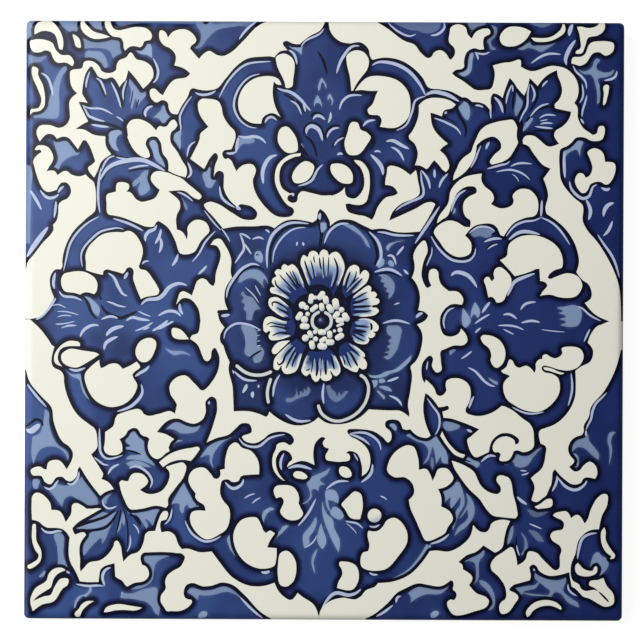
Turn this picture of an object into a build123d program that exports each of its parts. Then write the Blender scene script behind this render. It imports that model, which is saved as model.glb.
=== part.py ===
"""Square ceramic wall tile: a dust-pressed body with a cushion edge round its glazed face
and a back keyed with a grid of shallow pockets for the adhesive.

Millimetres. The origin is the centre of the back, +Z points out of the glazed face.
"""

import os
from math import radians, tan

from build123d import *

# Driving dimensions of the tile
TILE_SIZE = 152.4  # side of the square
THICKNESS = 7.9  # back to glazed face
CORNER_RADIUS = 1.2  # plan radius of the four corners
CUSHION_RADIUS = 2.0  # round-over between the glazed face and the sides
EDGE_BAND = 3.4  # depth below the face, cushion included, over which the sides stand upright
SIDE_DRAFT = 3.5  # degrees that the rest of each side leans in towards the back
BACK_ARRIS = 0.4  # small bevel where the sides meet the back

# Keyed back
BACK_RIM = 7.0  # flat band left round the pockets
RIB_WIDTH = 3.0  # flat rib between two pockets
POCKETS_PER_SIDE = 6
POCKET_DEPTH = 0.9
POCKET_DRAFT = 30.0  # degrees that the pocket walls lean
POCKET_CORNER = 2.0  # plan radius of a pocket's mouth

# Sizes that follow from the ones above
DRAFTED_HEIGHT = THICKNESS - EDGE_BAND
BACK_SIZE = TILE_SIZE - 2 * DRAFTED_HEIGHT * tan(radians(SIDE_DRAFT))
KEYED_SPAN = BACK_SIZE - 2 * BACK_RIM
POCKET_SIZE = (KEYED_SPAN - (POCKETS_PER_SIDE - 1) * RIB_WIDTH) / POCKETS_PER_SIDE
POCKET_PITCH = POCKET_SIZE + RIB_WIDTH

# Pressed body with its keyed back
with BuildPart() as tile:
    # Upright band under the face, then the drafted body behind it
    with BuildSketch(Plane.XY.offset(DRAFTED_HEIGHT)):
        Rectangle(TILE_SIZE, TILE_SIZE)
    extrude(amount=EDGE_BAND)
    with BuildSketch(Plane.XY.offset(DRAFTED_HEIGHT)):
        Rectangle(TILE_SIZE, TILE_SIZE)
    extrude(amount=-DRAFTED_HEIGHT, taper=SIDE_DRAFT)

    # Corners in plan, then the cushion edge round the face and the arris round the back
    level_edges = tile.edges().filter_by(Axis.X) + tile.edges().filter_by(Axis.Y)
    fillet(tile.edges() - level_edges, CORNER_RADIUS)
    fillet(tile.edges().group_by(Axis.Z)[-1], CUSHION_RADIUS)
    chamfer(tile.edges().group_by(Axis.Z)[0], BACK_ARRIS)

    # Pockets pressed into the back
    with BuildSketch(Plane.XY):
        with GridLocations(POCKET_PITCH, POCKET_PITCH, POCKETS_PER_SIDE, POCKETS_PER_SIDE):
            RectangleRounded(POCKET_SIZE, POCKET_SIZE, POCKET_CORNER)
    extrude(amount=POCKET_DEPTH, taper=POCKET_DRAFT, mode=Mode.SUBTRACT)

tile.part.label = "tile"

os.makedirs("parts", exist_ok=True)
export_step(tile.part, "parts/tile.step")
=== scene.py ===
"""Looks of a square blue and white ceramic tile: the printed glaze on its face, the fired body
and a plain studio stage.

The ornament is a traditional scroll of palmettes, leaves and a rosette. Its outlines are kept as
short texts of points read from the photograph, in photograph pixels, and are turned into
smooth curves at the tile's real size.
"""

import math

import bmesh
import bpy
import numpy as np
from bpy.props import FloatProperty, FloatVectorProperty, PointerProperty
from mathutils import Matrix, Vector
from mathutils.bvhtree import BVHTree
from mathutils.geometry import delaunay_2d_cdt
from mathutils.kdtree import KDTree


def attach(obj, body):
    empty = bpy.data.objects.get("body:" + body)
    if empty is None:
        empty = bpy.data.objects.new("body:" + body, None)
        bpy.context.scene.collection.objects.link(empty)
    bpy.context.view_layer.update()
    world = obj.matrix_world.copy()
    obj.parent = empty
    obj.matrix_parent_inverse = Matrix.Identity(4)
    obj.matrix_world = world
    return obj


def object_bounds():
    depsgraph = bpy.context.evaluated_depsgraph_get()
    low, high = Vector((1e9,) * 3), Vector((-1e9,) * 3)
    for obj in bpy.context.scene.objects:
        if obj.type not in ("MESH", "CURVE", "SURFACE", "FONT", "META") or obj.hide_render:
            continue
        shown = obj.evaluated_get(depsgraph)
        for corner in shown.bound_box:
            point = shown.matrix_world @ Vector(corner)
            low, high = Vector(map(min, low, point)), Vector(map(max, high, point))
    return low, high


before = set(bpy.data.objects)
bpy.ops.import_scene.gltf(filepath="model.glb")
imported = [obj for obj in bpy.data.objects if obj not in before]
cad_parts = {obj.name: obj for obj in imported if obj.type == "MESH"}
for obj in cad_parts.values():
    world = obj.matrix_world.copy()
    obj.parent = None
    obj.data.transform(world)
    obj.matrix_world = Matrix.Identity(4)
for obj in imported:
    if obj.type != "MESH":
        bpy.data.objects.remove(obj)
CAD_LOW, CAD_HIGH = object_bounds()

bl_info = {
    "name": "Decorative tile looks",
    "version": (1, 0, 0),
    "blender": (4, 2, 0),
    "location": "View3D > Sidebar > Tile",
    "description": "Printed glaze, fired body and studio stage of a decorative tile",
    "category": "Object",
}

MM = 0.001
TILE_NODE = "tile"
TILE_SIDE = (CAD_HIGH.x - CAD_LOW.x) / MM

# Where the photograph shows the tile, in its pixels
PHOTO_SIZE = 644.0
PHOTO_CENTRE = (324.2, 320.7)
PHOTO_SIDE = 600.0
PHOTO_ROLL = math.radians(0.24)
MM_PER_PIXEL = TILE_SIDE / PHOTO_SIDE

# The ornament. A line is a kind of mark, its width, radius or level where it has one, and its points.
# Indented lines carry a path on. A point with ! is a sharp corner, the others lie on a smooth curve.
# cream is bare ground, wash a pale patch on blue, shade a soft dark one, vein a dark stroke, glint a
# pale tapered stroke, white a stroke of bare ground, ray a petal of the rosette, blue towards its
# middle, and bead a dot of bare ground or a short rounded bar of it.
NORTH_WEST_GROUND = """
cream 34.4,31 37.5,22.8 49,20.2 59,29.3 63.4,43.5 62.5,49.7! 59.3,49 58.4,45.5 54,33.7 42.5,31 34.8,34.5!
cream 30.2,41 33,39.9 44.7,39.8 53,43.6 55,48.5 61.2,54.8 70,55.7 72.8,59 74,63.2 72.3,66.3! 66.5,62.8
  56.3,62.2 52.2,56 51,52.6 44.7,50.4 41.4,51.9 33.5,51.8 29.9,44.5
cream 31.8,70 32.5,66.8 38.2,69 38,73.5 43,85.5 45,101 44.4,106 41.4,109.8 33,112! 30.2,114.5! 30.6,110
  38.6,107.8 41.4,100.8 38,89.5 32.7,76.8
cream 72.6,34.5 78.3,37.5 81,47.6! 78.3,47.8 75.6,45.8 74.4,41.4 73.2,37.6
cream 81,14! 82.7,31.5 92,38.3 105,38.1 110,36.8! 105,34.8 93,31 88.2,26.6 84.3,21.6 83.5,14!
cream 104.8,14! 105.8,28 111.8,35.8 121.7,38.8 123.4,43 123.8,48 125,50.8! 131,46.3 136,46.3 140.4,47.2
  142.6,45.3 144.2,41.6 150.8,39.4 152,36.5 148,29.4 137,27 125,29.2 119.5,30.3 114.6,29.2 110.2,21.6
  109.5,14!
cream 268,20.3! 258,26 243,41.2 230,53 223,56 217.5,55.2 208.5,51 204,53.6 199,59! 190,48.6! 191.5,45.5
  195,43 196.3,40.5 194.8,36.5 186.9,29.9 172,32.6 168,37.8! 163.5,30.8 160.8,30.3 159.3,38 164.6,45.8
  169.6,48 175.6,55.2 174.3,65.4! 186.4,70 190.2,73.6! 187.5,76.5 174.3,79.9 163,95.3! 160.2,93.7 153.6,88.5
  150.9,89.3 150.3,96.4 156.9,102.5 160.8,100.3! 164.1,100.3 167.9,103 168.8,108.5 171.2,112.9 177.6,114.3!
  180.9,107.4 188,95.9 190.8,89.3 193,88! 205.6,90.4 217.2,88.2 225.4,78.8 237.5,65.1 245.2,59.6 262.8,56.6
  271.6,56.6 274.4,57.4! 280.4,51.3 287.5,50.2! 283.4,42 285,41 293.6,43.8 299.7,44.2! 309,36.5 320.5,30
  325.3,21! 325,14! 268,14!
cream 73.3,69.5 70.6,71.1 70,76.6 72.8,88.7 77.2,93.3! 70,100.3 69.7,111.8 70,117.3 64.5,126.1 60.1,127.8
  49.1,125 38.7,126.7 36.8,130.5 39.8,141.5! 49.1,133.8 53.5,134.9 56.8,138.8! 64.5,136.6 68.9,138.2
  73.3,143.2 78,149.4! 81,143.7 83.2,140.4 85.4,140.2 88.2,143.7 93.7,156.4 95.3,161.3! 92,164.6 88.7,166.8
  94.2,177.6! 98.3,169 100.3,163.5 111.3,154.2! 105.8,145.4 105.6,136.2! 94.2,134.9 83.2,129.4 75.5,129.1!
  85.4,122.8 88.2,121.5! 78.6,102! 82.1,101.9 87.6,103! 82.1,93.7! 83.2,83.2 87.6,70 90.9,66.2! 93.1,67.8
  94.4,72.2 106.3,78.8 110.7,77.2 119.5,87.1! 122.3,83.2 125.6,79.9 127.2,74.4 128.5,70! 136,78.8
  143.2,88.7! 150.3,81.6 153.1,77.2 151.4,66.7 142.6,60.7 137.1,59.6 130.5,52.4 126.1,57.4 119,60.7
  116.8,64.5 116,70 109.6,73.1 101.4,70.6 99.7,67.3 92,61.2 84.3,61.8 81.6,68.4 78.3,69.1
cream 34.8,149.8! 36.5,146.5 46.9,146.5 53.3,159.1 49.1,166.8 46.4,171.2! 55.2,171.5 57.4,175.4! 66.7,171
  71.1,174.3 82.1,175.9 85.4,174.3! 89.8,178.7 93.7,182 94.8,185.8 95.9,203.4 95.3,210 86.5,218.3 73.3,231.5
  62.3,260.6 62.1,267.2 60.7,269.4! 55.7,269.4 50.2,277.1 50,284.8 54.1,297.5! 46.9,309 40.3,316.2
  29.9,318.9! 14,318! 14,268! 26,268.3! 27.7,261.7 31.5,257.3 43.6,241.9 51.3,233.7 53.5,229.8 53,224.9!
  56.3,221 58.5,210 59,204 62.3,200.7 66.7,199 71.1,191.9 66.7,182.7 62.3,182.5 56.8,189.7! 48,191.9
  35.9,172.6 34.3,166 33.2,162.4 38.7,153.8 41.6,152! 40,149.6 37,150.2
cream 126.1,129.4 131.6,120.1 137.1,119 148.1,122.8 156.1,130.5! 160.2,125.9 163.5,127 167.4,125.6
  170.1,121.7 173.4,119.5 177.3,125 175.1,128.9 171.8,131.6 170.3,140.4 177.4,152 182.5,161.3 186.4,167.9
  186.9,173.4 185.3,177.3! 174.8,174 168.4,170.8! 166.8,158.6 163.5,154.7 160.2,141.5 156.9,137.1
  148.1,138.2 145.7,142.6 149.2,152.5 149.8,156.4 147,158 142.6,156.9 128.3,139.3
cream 151.4,175.4 153.6,172.6 166.8,172.4 174.5,175.4 180.2,177.6 189.7,185.3 195.2,189.7 201.4,197.4
  199,199.6! 194.1,197.9 184.7,191.1 172.6,190.8 168.2,191.3! 172.6,194.6 179.8,202.3 179.8,208.9 177,214.4
  177,229.6! 180.9,230.9 186.9,239.8! 187.7,234.2 187.5,227.6 195.7,219.9 206.2,222.7 209.1,232 205.6,235.9
  201.2,240.8 193.5,252.4 180.5,253.5 175.4,241 166.8,226.5 158.6,221! 156.4,222.1 154.2,226 147,226.7
  137.1,223.2 121.7,217.2 114,215.5 108.5,214.4 106.6,203.4 107.4,194.1 111.8,192.7 116,191.5! 117.3,183.1
  129.2,185.3 128.9,188.6 126.1,191.5! 130,192.2 136.6,199.6 141.5,201.8 148.1,200.7 154.2,198.5
  159.7,189.7! 153.1,183.6 150.9,179.8
cream 85.4,256.2 88.7,246.9 94.2,240.8 100.8,235.3 117.3,232 123.4,232.2 127.2,230.9 142.6,248.5
  138.8,266.1! 139.9,268.9 144.8,270 153.1,279.3 157.5,286.5 159.3,290.9 158,294.2 152.5,295.8 145.9,296.9
  141,299.1! 135.5,285.9 133.3,279.3 132.7,268.9 130,267.2 126.7,268.3 125,271.6 122.8,273.6! 111.8,270.5
  106.3,269.4 103.6,271.1 103,274.9! 92,272.2 86,270! 86,262.8
cream 63.4,274.4 70,272.2 85.4,272.2 96.4,280.4 96.4,291.4 94.2,294.2! 84.3,292.5 79.9,294.7! 75.5,293.1
  64.5,290.9 61.8,277.1
cream 276,57.4 283.7,53.5 292,57.9 293.1,79.9 292,86.5 285.9,87.8 284.8,83.2 276.6,63.4
cream 238.1,103 243,88.2 255.1,78.3 280,81.2 281.4,85! 277,84.3 273.8,81.3! 272.7,94.2 276,108.5 280.4,117!
  271.6,113.1 262.8,117.9 261.2,123.6! 250.7,122.6 240.8,114.6 238.6,108.5
cream 277.7,137.1 281.5,127.8 285.4,126.4 293.6,133.3 297.8,145.4 297.5,150.3 289.2,153.1 278,141.5
cream 198.5,101.9 201.2,99.2 207.8,98.8 218.8,101.9 221.6,107.4 222.7,114 229.8,126.1 234.2,130.5
  231.5,149.2! 227.6,149.8 224.3,150.3 222.3,153.1 225.4,159.1 228.2,158.2! 230.9,160.2 233.7,165.7
  236.4,171.2! 243,165.2 253.5,165.2 255.7,169 252.9,180.3 265,206.7 278.2,216.6 285.9,217.2 292,215.5
  294.2,211.1 292.5,207.8 289.2,206.2 280.4,195.2 274.9,180.3 277.8,165 289.2,155.3 300.8,153.2! 300.6,155.3
  295,156.8 282.5,164.5 282.6,188.6 292.5,194.6! 288.5,195.5 287.3,199 292.5,202.9 296.4,201.8 298.6,194.1
  300.8,191.9 311.2,193 322.2,195.5 331,195.2! 331,222.4! 329.9,222.1! 323.3,211.1 320,208.9! 318.4,211.1
  316.2,219.9 312.3,222.4! 283.7,221.6 274.4,228.2! 270.5,226.3 254,226.3 232,227 223.2,228.7! 211.1,214.4
  205.6,208.4 204,205.1 210,201.8 216.6,203.4 232,212.8 245.2,219.7 255.7,218.3 257.3,213.9 251.8,206.7
  245.2,204.7 239.7,204.5 237.3,206.9! 229.8,200.1 223.8,188 223.8,180.3 223.2,172.6 219.9,170.7 216.1,172.3
  213.9,176.9! 215,165.7 217.7,155.3 216.1,153.1 209.5,158.6 206.2,165.2 204,169! 190.3,158.8! 194.6,150.3
  199.6,139.3 200.7,133.3 204.5,130 208.4,126.7! 198.2,108.5
cream 210.6,244.7! 215.5,239.2 218.8,238.6 226,246.9 231.1,259.5 230.9,273.8 232,277.7! 225.4,289.2
  225.4,304.1 227.8,309.6! 218.3,310.1! 217.2,311.8 218.3,316.7 221,323.3 224.3,327.2! 221,333! 202,333!
  200.7,322.2 197.9,307.9 189.1,298.6 183.6,298 176.2,304.8! 178.1,298 180.3,292.5 183.1,291.2 186.9,292.5
  191.9,295.6! 194.1,289.2 198.5,279.9 202.3,278.4 206.2,279.9 210,284.3 213.3,286.2! 215,282.6 215.5,276
  219.4,249.6 216.6,245.8 213.3,244.9
"""
# The wash along the top edge from x 112 to 256 and the one along the left edge from y 166 to 243 are
# painted highlights, where the rounded edge catches the light
NORTH_WEST_SHADING = """
wash 0.5 14,14! 40,14! 36.5,21 33,25 32,36 27,39 14,39!
wash 0.45 56,14! 79.5,14! 79,28 74,33 68,31 62,26
wash 0.5 86.5,14! 103,14! 103.5,25 106,31 94,29 89,24
wash 0.42 82.5,37 90,40.5 108,40.2 117,39.4 120,42 121,48 122,53! 116,56 113,58.5! 111,53 90,48 83,48.5
wash 0.5 86,51.5 94,51 101,52 107,62 107.5,67 105,68 101,63 90,59 86,59.5
wash 0.25 112,14! 256,14! 256,22 220,23.5 180,23.5 140,23 118,25
wash 0.75 136,50.5! 143,50 145,45 148,42.5 151,45 152,52 152,58! 147,55 141,54
wash 0.5 66,66 67,69 63,75 59,92 59.5,105 58,117 42,118 32,116.5 30.5,114 40,112 45,109 50,97 54,82 58,74
  63,67.5
wash 0.55 53,140! 58,142 66,141 71,143 76,149 80,150.5 79,154 72,156 61,164 58,170 53,169 57,163 58,157
  56,150
wash 0.55 129,78! 137,88 141,93 146,91.5! 146,95 141,101 138,105 136,98 134,103 132,110! 130,104 131,90
  129,84
wash 0.7 108,137 110,132 120,130.5 122,133 118,136 116.5,146 119,151 114,149.5 110.5,145
wash 0.6 153,118! 157,114 161,110 163,105.5 166,107 168,112 172,118! 168,121 163,124 160,120 156,117.5
wash 0.85 149,143 151,139.5 155,139 160,150 162,158 166,168! 154,157 152,150
wash 0.55 131,187 134,181 139,177 143,172 148,170 147.5,178 149.5,190 140,195 138,190 140,182 135,186
wash 0.4 198,14! 212,14! 212,23 225,23 256,20! 240,25.5 215,31.5 205,42 201,47 196,48.5 193,47.5 197,45.5
  201,35 199,29 196,25
wash 0.7 172,134 176,132.5 181,131 180.5,138 181,145 180,150! 176,143 172.5,138.5
wash 0.6 211,159! 212,165 210.5,172 212,178 216,179 214.5,183 210.5,188 207,187.5 204.5,182 202.5,176
  208,164
wash 0.75 288,43.6! 293.5,45.4 299.8,46.2 303,44 302,49.5 301.6,55! 298,51.5 289.5,46.6
wash 0.8 321.5,77.5! 324,81 326.5,86.5 326,88.5 324,83.5 322.5,82 320.5,87 319,91.5! 318,88 319,83
wash 0.8 317.5,95! 321.5,103 322,107.5! 319.5,103.5 316,103 314.5,107! 314,103.5 315.5,98.5
wash 0.8 330,93.5! 333,102 331,106! 331.5,100.5 329.5,97.5 328,100.5 327.5,97
wash 0.85 301.5,143.5! 303,146 304,151! 302,149 300.5,146
wash 0.5 239,138 247,138.5 253,138 255,141 250,143.5 243,144 238,150!
wash 0.4 14,166! 30.5,166 31,190 30.5,215 30,243! 14,243!
wash 0.45 181.5,197! 184,201 187,206 187,211! 184.5,207 182.5,203
wash 0.65 84,296.5! 88,297 92,299.5 100,310 98,316.5! 94,313 88,300
vein 3 93.5,70 101,87 105,97
vein 3 114,80 121,99 122.5,108
vein 1.2 133,90 132,97 130,106
vein 3.2 88,121.7 103,123.2 121,128
vein 3 105.5,137 108.5,131.5 121,129 125,131
vein 4 124.5,119 125,128 127,137
wash 0.35 28,54! 38,57 47,56 40,62 33,63 28,67!
vein 1.4 127,84 124.5,96 124,108
vein 1.4 139,99 136,108
vein 3 144,118 143.2,113 151,104.2 157,104
vein 2.5 113,154 125,158 134,157.5
vein 2 101.5,184 109,169.5 117,165.5 127,163
vein 2 128,172 143,168.5 152,168.5
vein 7 206,19 205,24
vein 4 212,20 217,20
vein 3 318,52 322,58 327,74
vein 2.5 299,110 291,98 284,94
vein 3 305,113 301,106 296,100
vein 3 311,117 314,113.6 325,116.5
vein 3 304,136 305,128 310,123.6 317,124.5 324.5,139
vein 3 325,140 327,131.5 333,126 340,125.6
vein 2.5 305,136 311,141 317,157
vein 2.5 301,145 304,151 309,157
vein 3 332,147 337,140.5 344,135
vein 3 98,276 99,285 98.5,294 102,300
vein 3 83,296 87,302 93,315 97,319
vein 3.5 101,305 105,311 113,316 121,318 128,315.5 137,311.5
glint 2.5 41,73 45,75 52,90 53,96
glint 2 90,71 86.5,82 86,88
glint 2.2 96,78 100,80.5 103,86 106,95
glint 2.2 111,82 116,92 121,108
glint 2 127,80 123,93 123.5,100
glint 2 82,105 87,107.5 102,109 113,114.5
glint 1.5 116,116.5 120,118.5 123.5,121.5
glint 2.5 83,106 86,111 89,116 93,118 105,121.5
glint 2.5 91,124.5 103,126.5 109,127
glint 2.5 153,58 158,74 156,80 153,83
glint 3 146,117 145,113 148,108 153,106
glint 2 101,172 112,156.5 115,156
glint 1.5 116,157 122,158.5 127,158.5
glint 4.5 100,180 108,168 125,161 142,160 158,167 165,171
glint 2 128,169 141,166 149,165.5
glint 2.5 257,20.5 244,32.5 239,39.5
glint 2.2 219,98 229,80 246,64.5 264,61.8 271,61.5
glint 2.2 260,74 252,76 238,90 234,107 243,123 250,127 257,128
glint 2.5 195,92.5 200,94.5 213,92.5 216,90.5
glint 2 192,96 183,109 180,116 180,122 181,128 180,132
glint 2 195.5,141.5 191,144.5 187,157
glint 2.5 187.5,162 190,175.5 187,178
glint 2 301,47 304,42.5 321.5,32 324,28.5
glint 2.5 288.5,50 292.5,52.5 297,64.5
glint 3 359.5,46 354,46 343,57 336.5,73.5
glint 3 277,88 282,90 290,92 302,101 307,107 311,111
glint 2 290,100.5 295,103 301.5,115
glint 2 303,104 304.5,108 305.5,112
glint 2.5 362,95.5 347,97 342,102 339.5,110
glint 2.5 330.5,112 330.5,117 328,123
glint 3 313,119.5 316,116 320,116 325,120
glint 4 306.5,134 307,129 311,126 316,127.5 322.5,141
glint 2.5 327,138 329,132.5 334,128.5 339.5,128
glint 2 344,137.5 338,140.5 334,146
glint 2.5 337,155 340,153.5 343,154.5
glint 2.5 363,126.5 366,122.5 375.5,120
glint 2.5 265,123 267,119 271,117 277,120.5
glint 3 236,153 237,145 238.5,137
glint 3 238,136 246,137.5 254,136.5 261,138.5 266,143.5
glint 2.5 226,153 231,153.5 236,152
glint 4 277,155 271,157 263,170 263.5,184
glint 2.5 323,164.5 319,168 311,181 298,186
glint 2.5 290,193.5 293.5,194.5 292,196
glint 3 30,190 38,203 41.5,210
glint 3 40,190 49,198 55,197 59,194
glint 2.5 58,193 61,188.5 64,186
glint 2.5 56,201 55.5,209 54,218
glint 5 48,227 36,243 26.5,257
glint 2.5 101,168 98.5,184 98.5,203 100,213
glint 2.2 99,216.5 85,225 71,242 65.5,262 63.5,271
glint 2.2 124,229.5 118,228 110,229 101,231.5 92,238.5 81.5,253 82.5,267
glint 2.5 113,218.5 131,224.5 143.5,231
glint 3.5 145.5,241.5 145.5,236 149,231.5 154,229.5 157,225
glint 3 161,229 159.5,236 155,244
glint 3 160,237 161.5,244 159,253
glint 3 178,254 176.5,259 172,266
glint 2 142,264.5 144,262 149,261
glint 3 108,273 112.5,276 119,288 123,294 127.5,296
glint 3 128,272 125.5,276.5 124,279
glint 2 106.5,301.5 112,303 118,305.5 126,307
glint 3 55.5,272.5 53.5,284 54.5,289
glint 2.5 59,291 62,295 75,297.5 82,300.5
glint 4 56,298 47,309.5 41,316 36,319.5
glint 1.2 52,306 57,304.5 66,308
glint 1.2 57,311.5 64,311.5 79,315
glint 1.2 57,317 63,315.5 72,316
glint 1.2 56,324 65,323.5 75,321
glint 1.2 62,328 68,325.5 77,325.5
glint 2 215.5,231 206,241 198,255 192,262
glint 2.5 207,265.5 203,270 198,274.5
glint 1.5 204,210 215,224 221,230.5
glint 2 177,192 183,194 193,201.5
glint 2.5 219.5,186 223,199 229,204 235,207.5
glint 3.5 236,205.5 238,208 241,209.5
glint 4 141,305 145,301 160,297.5 164,294 168,288.5 180,283.5 187,285.5
glint 3 180,303.5 180,309 183,314.5
glint 3 158,316 170,311 176,312 181,316.5
glint 3 126,321 132,317.5 140,319 150,320.5
glint 2.5 101,319.5 112,316.5 118,318.5
glint 1.5 138,311 144,314 151,316.5
"""
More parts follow.
